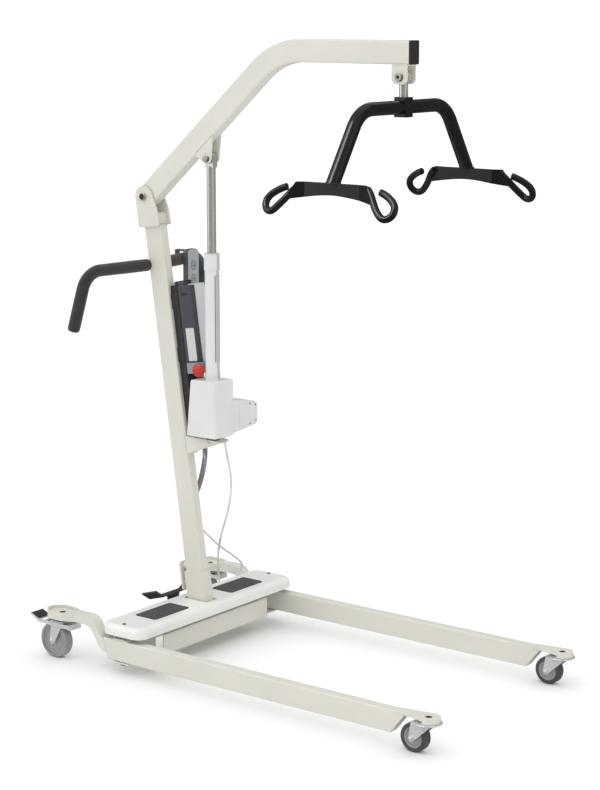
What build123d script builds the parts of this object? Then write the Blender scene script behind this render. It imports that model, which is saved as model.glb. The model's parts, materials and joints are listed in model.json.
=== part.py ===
from build123d import *

import os
from math import cos, radians, sin, tan

os.makedirs("parts", exist_ok=True)

# Mobile patient hoist. +X is forward, +Y is the user's left, +Z is up, millimetres.
# The origin is on the floor in the middle of the footprint.

# ---- driving dimensions ----------------------------------------------------
MAST_X = -345.0  # mast foot, measured from the middle of the footprint
LEG_Y = 320.0  # leg centre line from the middle plane
LEG_WIDTH = 30.0
LEG_BOTTOM = 36.0
LEG_TOP = 96.0
TUBE_WALL = 3.0
FRONT_STEM_X = 995.0
REAR_STEM_X = -232.0
FRONT_WHEEL_R = 37.5
FRONT_TRAIL = 38.0
REAR_WHEEL_R = 50.0
REAR_TRAIL = 25.0
WHEEL_WIDTH = 30.0
FRONT_FORK_TOP = 79.0
REAR_FORK_TOP = 110.0
FRONT_PLATE_Z = 92.0  # underside of the plate over the front caster
TRAY_FLOOR_Z = 131.0  # underside of the plate over the rear caster
STEM_R = 6.0
STEM_SEAT_R = 9.0  # where the stem is set into the leg's plate
RUNNING = 0.05  # radial clearance of every turning pin

BEAM_BOTTOM = 40.0
BEAM_TOP = 100.0
COVER_TOP = 140.0
COVER_HALF = 340.0

MAST_LEAN = 8.13  # degrees back from vertical
MAST_FOOT_Z = 137.0
MAST_DEPTH = 60.0
MAST_WIDTH = 30.0
MAST_TOP = 1064.0  # along the mast

PIVOT_X = -172.0  # boom hinge
PIVOT_Z = 1272.0
BOOM_DEPTH = 60.0
BOOM_WIDTH = 40.0
BOOM_ANGLE = 41.5
BOOM_BEND_R = 210.0
BOOM_END_X = 711.0
BOOM_LEVEL_Z = 1678.75

ACTUATOR_X = 52.0  # upright axis of the lift actuator
EYE_Z = 1387.0
CLEVIS_Z = 599.0  # pin that the actuator stands on

HANGER_X = 683.0
HANGER_Z = 1618.0
SADDLE_Z = 1543.0
BAR_Y = 297.0
BAR_TOP = 1372.0
HOOK_ROD_R = 9.0


# ---- working planes: local coordinates start at the mast foot on the floor ---
def side(y):
    """Vertical plane along the hoist: local x forward, local y up, normal to -Y."""
    return Plane(origin=(MAST_X, y, 0), x_dir=(1, 0, 0), z_dir=(0, -1, 0))


def level(z):
    """Horizontal plane at height z: local x forward, local y to the left."""
    return Plane(origin=(MAST_X, 0, z))


def across(x):
    """Vertical plane across the hoist at x: local x to the left, local y up."""
    return Plane(origin=(MAST_X + x, 0, 0), x_dir=(0, 1, 0), z_dir=(1, 0, 0))


LEAN_C = cos(radians(MAST_LEAN))
LEAN_S = sin(radians(MAST_LEAN))


def mast_side(y):
    """Vertical plane leaning with the mast: local x in front of it, local y along it."""
    return Plane(origin=(MAST_X, y, MAST_FOOT_Z), x_dir=(LEAN_C, 0, LEAN_S), z_dir=(0, -1, 0))


def mast_section(h):
    """Plane square to the mast at h along it: local x forward, local y left."""
    foot = (MAST_X - LEAN_S * h, 0, MAST_FOOT_Z + LEAN_C * h)
    return Plane(origin=foot, x_dir=(LEAN_C, 0, LEAN_S), z_dir=(-LEAN_S, 0, LEAN_C))


def mast_front(u):
    """Plane parallel to the mast front, u ahead of the mast axis: local x right, y up the mast."""
    foot = (MAST_X + LEAN_C * u, 0, MAST_FOOT_Z + LEAN_S * u)
    return Plane(origin=foot, x_dir=(0, 1, 0), z_dir=(LEAN_C, 0, LEAN_S))


# ============================ base frame ====================================

# Cross beam: an inverted channel with plates that hold the leg pivots above and below.
BEAM_HALF = 228.0
BEAM_REAR = -66.0
BEAM_FRONT = 60.0
PEDAL_AXIS_Z = 77.0
CRANK_X = -54.0
PIVOT_PLATE = 4.0
PIVOT_BOLT_R = 8.0

with BuildPart() as cross_beam:
    with BuildSketch(side(0)):
        with Locations(((BEAM_REAR + BEAM_FRONT) / 2, (BEAM_BOTTOM + BEAM_TOP) / 2)):
            Rectangle(BEAM_FRONT - BEAM_REAR, BEAM_TOP - BEAM_BOTTOM)
    extrude(amount=BEAM_HALF, both=True)
    fillet(cross_beam.edges().filter_by(Axis.Y), 5)
    with BuildSketch(side(0)):
        with Locations(((BEAM_REAR + BEAM_FRONT) / 2, (BEAM_BOTTOM + BEAM_TOP) / 2 - TUBE_WALL)):
            Rectangle(BEAM_FRONT - BEAM_REAR - 2 * TUBE_WALL, BEAM_TOP - BEAM_BOTTOM)
    extrude(amount=BEAM_HALF, both=True, mode=Mode.SUBTRACT)
    for z in (LEG_TOP + 1.0, LEG_BOTTOM - 1.0 - PIVOT_PLATE):
        with BuildSketch(level(z)):
            with Locations((-2, 0)):
                Rectangle(54, 2 * (LEG_Y + 16))
            with Locations((0, LEG_Y), (0, -LEG_Y)):
                Circle(PIVOT_BOLT_R + 0.2, mode=Mode.SUBTRACT)
            if z < LEG_TOP:
                Rectangle(200, 2 * BEAM_HALF - 60, mode=Mode.SUBTRACT)
            else:
                Rectangle(200, 2 * BEAM_HALF, mode=Mode.SUBTRACT)
        extrude(amount=PIVOT_PLATE if z < LEG_TOP else BEAM_TOP - z)
    for end in (-1, 1):
        with BuildSketch(side(end * (BEAM_HALF - 2))):
            with Locations(((BEAM_REAR + BEAM_FRONT) / 2, 65.5)):
                Rectangle(60, 69)
        extrude(amount=2, both=True)
        with BuildSketch(side(end * (BEAM_HALF - 20))):
            with Locations((-5, 33.5)):
                Rectangle(62, 5)
        extrude(amount=20, both=True)
    with BuildSketch(across(BEAM_REAR)):
        with Locations((0, PEDAL_AXIS_Z)):
            Circle(12)
    extrude(amount=-24)
    with BuildSketch(across(BEAM_REAR + 6)):
        with Locations((0, PEDAL_AXIS_Z)):
            Circle(7 + RUNNING)
    extrude(amount=-40, mode=Mode.SUBTRACT)
    with BuildSketch(level(BEAM_TOP - 10)):
        with Locations((CRANK_X, 0)):
            Circle(4)
    extrude(amount=20, mode=Mode.SUBTRACT)
cross_beam.part.label = "cross_beam"

# Cover: a moulded shell over the beam with a hole for the mast socket.
COVER_REAR = -75.0
COVER_FRONT = 73.0
SKIRT_BOTTOM = 110.0
COVER_MID = (COVER_REAR + COVER_FRONT) / 2

with BuildPart() as base_cover:
    with BuildSketch(level(SKIRT_BOTTOM)):
        with Locations((COVER_MID, 0)):
            RectangleRounded(COVER_FRONT - COVER_REAR, 2 * COVER_HALF, 34)
    extrude(amount=COVER_TOP - SKIRT_BOTTOM)
    fillet(base_cover.faces().sort_by(Axis.Z)[-1].edges(), 16)
    with BuildSketch(level(SKIRT_BOTTOM)):
        with Locations((COVER_MID, 0)):
            RectangleRounded(COVER_FRONT - COVER_REAR - 7, 2 * COVER_HALF - 7, 30)
    extrude(amount=COVER_TOP - SKIRT_BOTTOM - 3.5, taper=12, mode=Mode.SUBTRACT)
    with BuildSketch(level(COVER_TOP - 15)):
        with Locations((0, 0)):
            RectangleRounded(84, 50, 5)
    extrude(amount=30, mode=Mode.SUBTRACT)
    with BuildSketch(level(COVER_TOP - 15)):
        with Locations((-4, LEG_Y - 3), (-4, 3 - LEG_Y)):
            Circle(5.5)
    extrude(amount=30, mode=Mode.SUBTRACT)
    with BuildSketch(level(COVER_TOP - 1.5)):
        with Locations((0.5, 164.5), (0.5, -164.5)):
            RectangleRounded(77, 147, 9)
    extrude(amount=10, mode=Mode.SUBTRACT)
base_cover.part.label = "base_cover"

with BuildPart() as step_pads:
    with BuildSketch(level(COVER_TOP - 1.5)):
        with Locations((0.5, 164.5), (0.5, -164.5)):
            RectangleRounded(75, 145, 8)
    extrude(amount=3)
step_pads.part.label = "step_pads"

with BuildPart() as cover_screws:
    with BuildSketch(level(COVER_TOP - 2.5)):
        with Locations((-4, LEG_Y - 3), (-4, 3 - LEG_Y)):
            Circle(5.4)
    extrude(amount=3.5)
cover_screws.part.label = "cover_screws"

# Mast socket: a leaning rectangular sleeve welded on the beam.
SOCKET_TOP = 82.0
SOCKET_DEPTH = 68.0
SOCKET_WIDTH = 39.0
CLAMP_SCREWS = (48, 98)

with BuildPart() as mast_socket:
    with BuildSketch(mast_section(-45)):
        RectangleRounded(SOCKET_DEPTH, SOCKET_WIDTH, 5)
        RectangleRounded(MAST_DEPTH + 0.6, MAST_WIDTH + 0.6, 4, mode=Mode.SUBTRACT)
    extrude(amount=45 + SOCKET_TOP)
    split(bisect_by=level(BEAM_TOP), keep=Keep.TOP)
    with BuildSketch(mast_front(0)):
        with Locations((0, CLAMP_SCREWS[0])):
            Circle(4.2)
    extrude(amount=-SOCKET_DEPTH, mode=Mode.SUBTRACT)
mast_socket.part.label = "mast_socket"

# Mast: a rectangular tube, plugged at the top by the fork's web.
with BuildPart() as mast_tube:
    with BuildSketch(mast_section(0)):
        RectangleRounded(MAST_DEPTH, MAST_WIDTH, 4)
        RectangleRounded(MAST_DEPTH - 2 * TUBE_WALL, MAST_WIDTH - 2 * TUBE_WALL, 2, mode=Mode.SUBTRACT)
    extrude(amount=MAST_TOP)
    with BuildSketch(mast_front(0)):
        with Locations(*((0, h) for h in CLAMP_SCREWS)):
            Circle(4.2)
    extrude(amount=-MAST_DEPTH, mode=Mode.SUBTRACT)
mast_tube.part.label = "mast_tube"

# Clamp plate behind the mast, held off it by two spacers and screws.
CLAMP_U = -50.0

with BuildPart() as mast_clamp:
    with BuildSketch(mast_front(CLAMP_U)):
        with Locations((0, 69)):
            RectangleRounded(34, 82, 6)
        with Locations(*((0, h) for h in CLAMP_SCREWS)):
            Circle(4.2, mode=Mode.SUBTRACT)
    extrude(amount=5)
    for h, back in zip(CLAMP_SCREWS, (-SOCKET_DEPTH / 2, -MAST_DEPTH / 2)):
        with BuildSketch(mast_front(CLAMP_U + 5)):
            with Locations((0, h)):
                Circle(9)
                Circle(4.2, mode=Mode.SUBTRACT)
        extrude(amount=back - CLAMP_U - 5)
mast_clamp.part.label = "mast_clamp"

# Fork at the mast top: a solid web on the tube and two ears around the boom hinge.
PIVOT_U = PIVOT_X * LEAN_C + (PIVOT_Z - MAST_FOOT_Z) * LEAN_S
PIVOT_V = -PIVOT_X * LEAN_S + (PIVOT_Z - MAST_FOOT_Z) * LEAN_C
EAR_INNER = BOOM_WIDTH / 2 + 1.5
EAR_WALL = 4.5
BOLT_R = 8.0

with BuildPart() as mast_fork:
    with BuildSketch(mast_side(0)):
        with BuildLine():
            Polyline(
                (PIVOT_U - 30.4, MAST_TOP),
                (35, MAST_TOP),
                (32, PIVOT_V - 36),
                (PIVOT_U + 29.2, PIVOT_V + 8.4),
                (PIVOT_U, PIVOT_V + 10),
                (PIVOT_U - 30.4, PIVOT_V),
                close=True,
            )
        make_face()
        with Locations((PIVOT_U, PIVOT_V)):
            Circle(30.4)
    extrude(amount=EAR_INNER + EAR_WALL, both=True)
    with BuildSketch(mast_side(0)):
        with Locations((0, MAST_TOP + 100)):
            Rectangle(200, 300)
    extrude(amount=EAR_INNER, both=True, mode=Mode.SUBTRACT)
    with BuildSketch(mast_side(0)):
        with BuildLine():
            Polyline(
                (-38, MAST_TOP),
                (24, MAST_TOP),
                (24, MAST_TOP + 32),
                (20, MAST_TOP + 36),
                (-38, MAST_TOP + 36),
                close=True,
            )
        make_face()
    extrude(amount=EAR_INNER, both=True)
    with BuildSketch(mast_side(0)):
        with Locations((PIVOT_U, PIVOT_V)):
            Circle(BOLT_R)
    extrude(amount=60, both=True, mode=Mode.SUBTRACT)
mast_fork.part.label = "mast_fork"


def bolt_on_side(plane, at, radius, half, head_r, head_t):
    """Bolt along a side plane's normal: shank 2 x half long, round head near, hexagon nut far."""
    with BuildPart() as bolt:
        with BuildSketch(plane):
            with Locations(at):
                Circle(radius)
        extrude(amount=half, both=True)
        for end in (1, -1):
            with BuildSketch(plane.offset(end * half)):
                with Locations(at):
                    if end > 0:
                        Circle(head_r * 0.9)
                    else:
                        RegularPolygon(head_r, 6)
            extrude(amount=end * head_t)
    return bolt.part


# Fasteners of the base: boom hinge bolt, clamp screws, leg pivots, crank pivot.
with BuildPart() as frame_bolts:
    add(bolt_on_side(mast_side(0), (PIVOT_U, PIVOT_V), BOLT_R, EAR_INNER + EAR_WALL, 12, 6))
    for h in CLAMP_SCREWS:
        with BuildSketch(mast_front(CLAMP_U)):
            with Locations((0, h)):
                Circle(4.0)
        extrude(amount=22)
        with BuildSketch(mast_front(CLAMP_U)):
            with Locations((0, h)):
                RegularPolygon(8, 6)
        extrude(amount=-6)
    for y in (LEG_Y, -LEG_Y):
        with BuildSketch(level(LEG_BOTTOM - 10)):
            with Locations((0, y)):
                RegularPolygon(13, 6)
        extrude(amount=5)
        with BuildSketch(level(LEG_BOTTOM - 5)):
            with Locations((0, y)):
                Circle(PIVOT_BOLT_R)
        extrude(amount=BEAM_TOP - LEG_BOTTOM + 5)
        with BuildSketch(level(BEAM_TOP)):
            with Locations((0, y)):
                RegularPolygon(13, 6)
        extrude(amount=7)
    with BuildSketch(level(BEAM_TOP - 9)):
        with Locations((CRANK_X, 0)):
            Circle(4)
    extrude(amount=17)
frame_bolts.part.label = "frame_bolts"

# Push handle: one bent tube through the mast, swept back, ends turned down.
HANDLE_Z = 1082.0
HANDLE_START = (-159, 0, HANDLE_Z)
HANDLE_CORNER = (-191, 240, HANDLE_Z)
HANDLE_END = (-225, 262, 917)
HANDLE_R = 12.5
GRIP_R = 17.0


def handle_point(point, sign):
    return (point[0], sign * point[1], point[2])


def handle_path(sign):
    """Half of the handle's centre line, from the mast out to one end."""
    with BuildLine(level(0)) as line:
        FilletPolyline(
            handle_point((HANDLE_START[0], 8, HANDLE_Z), sign),
            handle_point(HANDLE_CORNER, sign),
            handle_point(HANDLE_END, sign),
            radius=55,
        )
    return line.line


def swept_rod(path, radius):
    """Round rod of one radius along a path."""
    with BuildPart() as rod:
        with BuildSketch(Plane(origin=path @ 0, z_dir=path % 0)):
            Circle(radius)
        sweep(path=path)
    return rod.part


with BuildPart() as handlebar:
    for sign in (1, -1):
        add(swept_rod(handle_path(sign), HANDLE_R))
    with BuildSketch(mast_section(800)):
        Rectangle(MAST_DEPTH + 40, MAST_WIDTH)
    extrude(amount=260, mode=Mode.SUBTRACT)
handlebar.part.label = "handlebar"

with BuildPart() as hand_grips:
    for sign in (1, -1):
        add(swept_rod(handle_path(sign), GRIP_R))
    with BuildSketch(side(0)):
        with Locations((HANDLE_START[0], HANDLE_Z)):
            Rectangle(90, 90)
    extrude(amount=MAST_WIDTH / 2 + 1.5, both=True, mode=Mode.SUBTRACT)
    for sign in (1, -1):
        add(swept_rod(handle_path(sign), HANDLE_R), mode=Mode.SUBTRACT)
hand_grips.part.label = "hand_grips"

# Bracket that carries the actuator: two tapered plates from the mast front.
BRACKET_INNER = 16.0
BRACKET_WALL = 5.0

with BuildPart() as actuator_bracket:
    with BuildSketch(side(0)):
        with BuildLine():
            Polyline((-45, 553), (-23, 561), (60, 593), (90, 603.5), (90, 609), (-55, 609), close=True)
        make_face()
    extrude(amount=BRACKET_INNER + BRACKET_WALL, both=True)
    with BuildSketch(side(0)):
        Rectangle(400, 1600)
    extrude(amount=BRACKET_INNER, both=True, mode=Mode.SUBTRACT)
    with BuildSketch(mast_front(MAST_DEPTH / 2)):
        with Locations((0, 446)):
            Rectangle(2 * (BRACKET_INNER + BRACKET_WALL), 54)
    extrude(amount=5)
    with BuildSketch(mast_side(0)):
        with Locations((-200 + MAST_DEPTH / 2, 430)):
            Rectangle(400, 400)
    extrude(amount=60, both=True, mode=Mode.SUBTRACT)
    with BuildSketch(side(0)):
        with Locations((ACTUATOR_X, CLEVIS_Z)):
            Circle(4.5)
    extrude(amount=BRACKET_INNER + BRACKET_WALL + 4, both=True)
actuator_bracket.part.label = "actuator_bracket"

# Control box: back plate, mounting spacers, lower electronics housing and charger housing.
BOX_NEAR = -8.0
BOX_FAR = 56.0
BOX_BACK = 57.0
BOX_FRONT = 118.0
BOX_FOOT = 646.0
BATTERY_FAR = 12.0
BATTERY_FRONT = 106.0
CHARGER_FRONT = 105.0
STOP_U = 113.0
STOP_V = 656.0
BOX_MID_Y = (BOX_NEAR + BOX_FAR) / 2
BOX_MID_U = (BOX_BACK + BOX_FRONT) / 2

with BuildPart() as control_box:
    with BuildSketch(mast_front(BOX_BACK - 8)):
        with Locations((BOX_MID_Y, 742)):
            RectangleRounded(BOX_FAR - BOX_NEAR, 325, 6)
    extrude(amount=8)
    with BuildSketch(mast_front(MAST_DEPTH / 2)):
        with Locations((4, 700), (4, 850)):
            Rectangle(22, 40)
    extrude(amount=BOX_BACK - 8 - MAST_DEPTH / 2)
    with BuildSketch(mast_section(BOX_FOOT)):
        with Locations((BOX_MID_U, BOX_MID_Y)):
            RectangleRounded(BOX_FRONT - BOX_BACK, BOX_FAR - BOX_NEAR, 5)
    extrude(amount=30)
    with BuildSketch(mast_section(BOX_FOOT + 30)):
        with Locations(((BOX_BACK + CHARGER_FRONT) / 2, (BATTERY_FAR + 0.3 + BOX_FAR) / 2)):
            RectangleRounded(CHARGER_FRONT - BOX_BACK, BOX_FAR - BATTERY_FAR - 0.3, 4)
    extrude(amount=217)
    with BuildSketch(mast_side(BOX_NEAR)):
        with Locations((STOP_U, STOP_V)):
            Circle(5.1)
    extrude(amount=-20, mode=Mode.SUBTRACT)
control_box.part.label = "control_box"

with BuildPart() as battery_pack:
    with BuildSketch(mast_section(BOX_FOOT + 31)):
        with Locations(((BOX_BACK + 0.5 + BATTERY_FRONT) / 2, (BOX_NEAR + BATTERY_FAR) / 2)):
            RectangleRounded(BATTERY_FRONT - BOX_BACK - 0.5, BATTERY_FAR - BOX_NEAR, 4)
    extrude(amount=214)
    with BuildSketch(mast_section(BOX_FOOT + 31)):
        with Locations((BOX_BACK + 13.8, (BOX_NEAR + BATTERY_FAR) / 2)):
            RectangleRounded(26.5, BATTERY_FAR - BOX_NEAR - 3, 4)
    extrude(amount=226)
    fillet(battery_pack.faces().sort_by(Axis.Z)[-1].edges(), 2.5)
battery_pack.part.label = "battery_pack"

with BuildPart() as emergency_stop:
    with BuildSketch(mast_side(BOX_NEAR)):
        with Locations((STOP_U, STOP_V)):
            Circle(5)
    extrude(amount=-12)
    with BuildSketch(mast_side(BOX_NEAR)):
        with Locations((STOP_U, STOP_V)):
            Circle(5)
    extrude(amount=13)
    with BuildSketch(mast_side(BOX_NEAR - 12)):
        with Locations((STOP_U + 1, STOP_V)):
            Circle(18.5)
    extrude(amount=11)
    fillet(emergency_stop.faces().sort_by(Axis.Y)[0].edges(), 5)
emergency_stop.part.label = "emergency_stop"

# Pendant: hangs from the left half of the push handle by a hook on its back.
PENDANT_Y = 146.0
PENDANT_X = -157.0
PENDANT_TOP = 1112.0
PENDANT_LENGTH = 148.0
PENDANT_WIDTH = 48.0

with BuildPart() as pendant_body:
    with BuildSketch(across(PENDANT_X)):
        with Locations((PENDANT_Y, PENDANT_TOP - PENDANT_LENGTH / 2)):
            RectangleRounded(PENDANT_WIDTH, PENDANT_LENGTH, 12)
    extrude(amount=20)
    fillet(pendant_body.faces().sort_by(Axis.X)[-1].edges(), 5)
    with BuildSketch(side(PENDANT_Y)):
        with BuildLine():
            Polyline(
                (PENDANT_X, PENDANT_TOP - 4),
                (PENDANT_X - 44, PENDANT_TOP - 4),
                (PENDANT_X - 44, PENDANT_TOP - 26),
                (PENDANT_X - 40, PENDANT_TOP - 26),
                (PENDANT_X - 40, PENDANT_TOP - 8),
                (PENDANT_X, PENDANT_TOP - 8),
                close=True,
            )
        make_face()
    extrude(amount=9, both=True)
    with BuildSketch(across(PENDANT_X + 12)):
        with Locations((PENDANT_Y, PENDANT_TOP - 45), (PENDANT_Y, PENDANT_TOP - 85)):
            RectangleRounded(22, 28, 8)
    extrude(amount=20, mode=Mode.SUBTRACT)
pendant_body.part.label = "pendant_body"


def pendant_button(z):
    with BuildPart() as button:
        with BuildSketch(across(PENDANT_X + 15)):
            with Locations((PENDANT_Y, z)):
                RectangleRounded(21, 27, 7.5)
        extrude(amount=7.5)
        fillet(button.faces().sort_by(Axis.X)[-1].edges(), 2)
    return button


up_button = pendant_button(PENDANT_TOP - 45)
up_button.part.label = "up_button"
down_button = pendant_button(PENDANT_TOP - 85)
down_button.part.label = "down_button"

# Soft leads as plain rods: the coiled pendant lead, the motor lead and the charger lead.
PENDANT_LEAD_R = 8.0
MOTOR_LEAD_R = 2.5
CHARGER_LEAD_R = 1.8


def lead(radius, *points):
    """Round lead through a list of points."""
    with BuildPart() as cord:
        with BuildLine(level(0)) as line:
            Spline(*points)
        add(swept_rod(line.line, radius))
    return cord


pendant_cord = lead(
    PENDANT_LEAD_R,
    (PENDANT_X + 10, PENDANT_Y, PENDANT_TOP - PENDANT_LENGTH - 1),
    (-143, 141, 890),
    (-118, 114, 780),
    (-70, 78, 655),
    (-24, 54, 556),
    (-44, 48, 450),
    (-76, 42, 412),
    (-98, 37, 470),
    (-90, 35, 560),
    (-54, 34, 645),
    (-20, 34, 695),
    (-11, 34, 740),
    (-14, 34, 783),
)
pendant_cord.part.label = "pendant_cord"

motor_cable = lead(
    MOTOR_LEAD_R,
    (37, 60, 616),
    (43, 70, 549),
    (45, 85, 475),
    (21, 105, 394),
    (-30, 130, 292),
    (-60, 152, 232),
    (-78, 172, 180),
    (-85, 186, 130),
    (-80, 190, 100),
    (-68.7, 191, 86),
)
motor_cable.part.label = "motor_cable"

charger_cable = lead(
    CHARGER_LEAD_R,
    (-38, 17.2, 352),
    (-16, 26, 334),
    (-24, 110, 268),
    (-32, 200, 209),
    (-42, 238, 179),
    (-62, 252, 148),
    (-82, 247, 122),
    (-82, 232, 100),
    (-68.2, 222, 86),
)
charger_cable.part.label = "charger_cable"

# ============================ legs ==========================================
STUD_X = -36.0  # tie rod stud behind the leg pivot
STUD_R = 4.0
PLATE_END_R = 30.0
ARM_BOTTOM = 119.0
ARM_TOP = 145.0
TRAY_TOP = 142.0

with BuildPart() as left_leg:
    with BuildSketch(side(LEG_Y)):
        with BuildLine():
            Polyline((-51, LEG_BOTTOM), (890, LEG_BOTTOM), (938, LEG_TOP), (-66, LEG_TOP), close=True)
        make_face()
    extrude(amount=LEG_WIDTH / 2, both=True)
    fillet(left_leg.edges().filter_by(Axis.X), 4)
    with BuildSketch(side(LEG_Y)):
        with BuildLine():
            Polyline((12, 39), (888, 39), (930, 92), (12, 92), close=True)
        make_face()
    extrude(amount=LEG_WIDTH / 2 - TUBE_WALL, both=True, mode=Mode.SUBTRACT)
    with BuildSketch(level(FRONT_PLATE_Z)):
        with BuildLine():
            Polyline(
                (905, LEG_Y + LEG_WIDTH / 2),
                (905, LEG_Y - LEG_WIDTH / 2),
                (975, LEG_Y - PLATE_END_R + 4),
                (FRONT_STEM_X, LEG_Y - PLATE_END_R),
                (FRONT_STEM_X, LEG_Y + PLATE_END_R),
                (975, LEG_Y + PLATE_END_R - 4),
                close=True,
            )
        make_face()
        with Locations((FRONT_STEM_X, LEG_Y)):
            Circle(PLATE_END_R)
    extrude(amount=LEG_TOP - FRONT_PLATE_Z)
    with BuildSketch(level(FRONT_PLATE_Z - 8)):
        with Locations((FRONT_STEM_X, LEG_Y)):
            Circle(PLATE_END_R)
            Circle(PLATE_END_R - 3, mode=Mode.SUBTRACT)
        with Locations((FRONT_STEM_X - 40, LEG_Y)):
            Rectangle(80, 120, mode=Mode.SUBTRACT)
    extrude(amount=9)
    with BuildSketch(level(FRONT_PLATE_Z - 20)):
        with Locations((FRONT_STEM_X, LEG_Y)):
            Circle(STEM_SEAT_R)
    extrude(amount=40, mode=Mode.SUBTRACT)
    with BuildSketch(level(0)):
        with Locations((0, LEG_Y)):
            Circle(PIVOT_BOLT_R + RUNNING)
    extrude(amount=200, mode=Mode.SUBTRACT)
    with BuildSketch(level(LEG_TOP)):
        with Locations((STUD_X, LEG_Y)):
            Circle(STUD_R)
    extrude(amount=24)
left_leg.part.label = "left_leg"

# Rear arm: rises from the leg's rear end to an open tray over the rear caster.
with BuildPart() as left_rear_arm:
    with BuildSketch(side(LEG_Y)):
        with BuildLine():
            Polyline((-180, ARM_TOP), (-130, ARM_TOP))
            Spline((-130, ARM_TOP), (-101, 135), (-83, 107), (-65, 92), tangents=((1, 0), (1, -0.5)))
            Polyline((-65, 92), (-56, 56), (-68, 56), (-86, 72))
            Spline((-86, 72), (-101, 97), (-114, 112), (-138, ARM_BOTTOM), tangents=((-0.4, 1), (-1, 0)))
            Polyline((-138, ARM_BOTTOM), (-180, ARM_BOTTOM), (-180, ARM_TOP))
        make_face()
    extrude(amount=LEG_WIDTH / 2 + 1, both=True)
    with BuildSketch(level(ARM_BOTTOM)):
        with BuildLine():
            Polyline(
                (-172, LEG_Y - 16),
                (-172, LEG_Y + 16),
                (-206, LEG_Y + 33),
                (-256, LEG_Y + 34),
                (-280, LEG_Y + 12),
                (-280, LEG_Y - 12),
                (-256, LEG_Y - 34),
                (-206, LEG_Y - 33),
                close=True,
            )
        make_face()
    extrude(amount=TRAY_TOP - ARM_BOTTOM)
    for low, depth in ((ARM_BOTTOM, TRAY_FLOOR_Z - ARM_BOTTOM), (TRAY_FLOOR_Z + 3, 40)):
        with BuildSketch(level(low)):
            with BuildLine():
                Polyline(
                    (-182, LEG_Y - 14),
                    (-182, LEG_Y + 14),
                    (-208, LEG_Y + 29),
                    (-254, LEG_Y + 30),
                    (-276, LEG_Y + 10),
                    (-276, LEG_Y - 10),
                    (-254, LEG_Y - 30),
                    (-208, LEG_Y - 29),
                    close=True,
                )
            make_face()
        extrude(amount=depth, mode=Mode.SUBTRACT)
    with BuildSketch(level(TRAY_FLOOR_Z - 5)):
        with Locations((REAR_STEM_X, LEG_Y)):
            Circle(STEM_SEAT_R)
    extrude(amount=20, mode=Mode.SUBTRACT)
    add(left_leg.part, mode=Mode.SUBTRACT)
left_rear_arm.part.label = "left_rear_arm"

with BuildPart() as right_leg:
    mirror(left_leg.part, about=Plane.XZ)
right_leg.part.label = "right_leg"

with BuildPart() as right_rear_arm:
    mirror(left_rear_arm.part, about=Plane.XZ)
right_rear_arm.part.label = "right_rear_arm"


# ============================ casters =======================================
def caster_stem(x, fork_top, plate_z, plate_t):
    """Turned stem: flange under the fork, bearing race and a head set into the left leg."""
    with BuildPart() as stem:
        with BuildSketch(Plane(origin=(MAST_X + x, LEG_Y, 0), x_dir=(1, 0, 0), z_dir=(0, -1, 0))):
            with BuildLine():
                Polyline(
                    (0, fork_top - 7.5),
                    (10, fork_top - 7.5),
                    (10, fork_top - 3.5),
                    (STEM_R, fork_top - 3.5),
                    (STEM_R, fork_top + 0.5),
                    (24, fork_top + 0.5),
                    (26, fork_top + 3),
                    (26, plate_z - 2),
                    (24, plate_z),
                    (STEM_SEAT_R, plate_z),
                    (STEM_SEAT_R, plate_z + plate_t - 1.2),
                    (0, plate_z + plate_t - 1.2),
                    close=True,
                )
            make_face()
        revolve(axis=Axis((MAST_X + x, LEG_Y, 0), (0, 0, 1)))
    return stem.part


with BuildPart() as left_caster_stems:
    add(caster_stem(FRONT_STEM_X, FRONT_FORK_TOP, FRONT_PLATE_Z, LEG_TOP - FRONT_PLATE_Z))
    add(caster_stem(REAR_STEM_X, REAR_FORK_TOP, TRAY_FLOOR_Z, 3))
left_caster_stems.part.label = "left_caster_stems"

with BuildPart() as right_caster_stems:
    mirror(left_caster_stems.part, about=Plane.XZ)
right_caster_stems.part.label = "right_caster_stems"

CHEEK = 2.5
AXLE_R = 4.0
BRAKE_PIN_X = REAR_STEM_X + 4
BRAKE_PIN_Z = 99.0
BRAKE_PIN_R = 3.0


def caster_fork(stem_x, fork_top, wheel_r, trail, brake_hole):
    """Pressed fork of the left caster: top plate, two cheeks and the axle bolt."""
    wheel_x = stem_x - trail
    inner = WHEEL_WIDTH / 2 + 2
    with BuildPart() as fork:
        with BuildSketch(level(fork_top - 3)):
            with Locations((stem_x + 8 - trail / 2, LEG_Y)):
                RectangleRounded(trail + 24, 2 * (inner + CHEEK), 4)
            with Locations((stem_x, LEG_Y)):
                Circle(23)
        extrude(amount=3)
        for end in (1, -1):
            with BuildSketch(side(LEG_Y + end * (inner + CHEEK / 2))):
                with BuildLine():
                    Polyline(
                        (stem_x + 18, fork_top - 1),
                        (wheel_x - 2, fork_top - 1),
                        (wheel_x - 8.7, wheel_r + 3),
                        (wheel_x + 8, wheel_r - 4),
                        close=True,
                    )
                make_face()
                with Locations((wheel_x, wheel_r)):
                    Circle(9)
            extrude(amount=CHEEK / 2, both=True)
            with BuildSketch(side(LEG_Y + end * (inner + CHEEK))):
                with Locations((wheel_x, wheel_r)):
                    RegularPolygon(7, 6)
            extrude(amount=-end * 3.5)
        with BuildSketch(side(LEG_Y)):
            with Locations((wheel_x, wheel_r)):
                Circle(AXLE_R)
        extrude(amount=inner + 1, both=True)
        with BuildSketch(level(fork_top - 10)):
            with Locations((stem_x, LEG_Y)):
                Circle(STEM_R + RUNNING)
        extrude(amount=20, mode=Mode.SUBTRACT)
        if brake_hole:
            with BuildSketch(side(LEG_Y)):
                with Locations((BRAKE_PIN_X, BRAKE_PIN_Z)):
                    Circle(BRAKE_PIN_R + RUNNING)
            extrude(amount=40, both=True, mode=Mode.SUBTRACT)
    return fork


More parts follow.
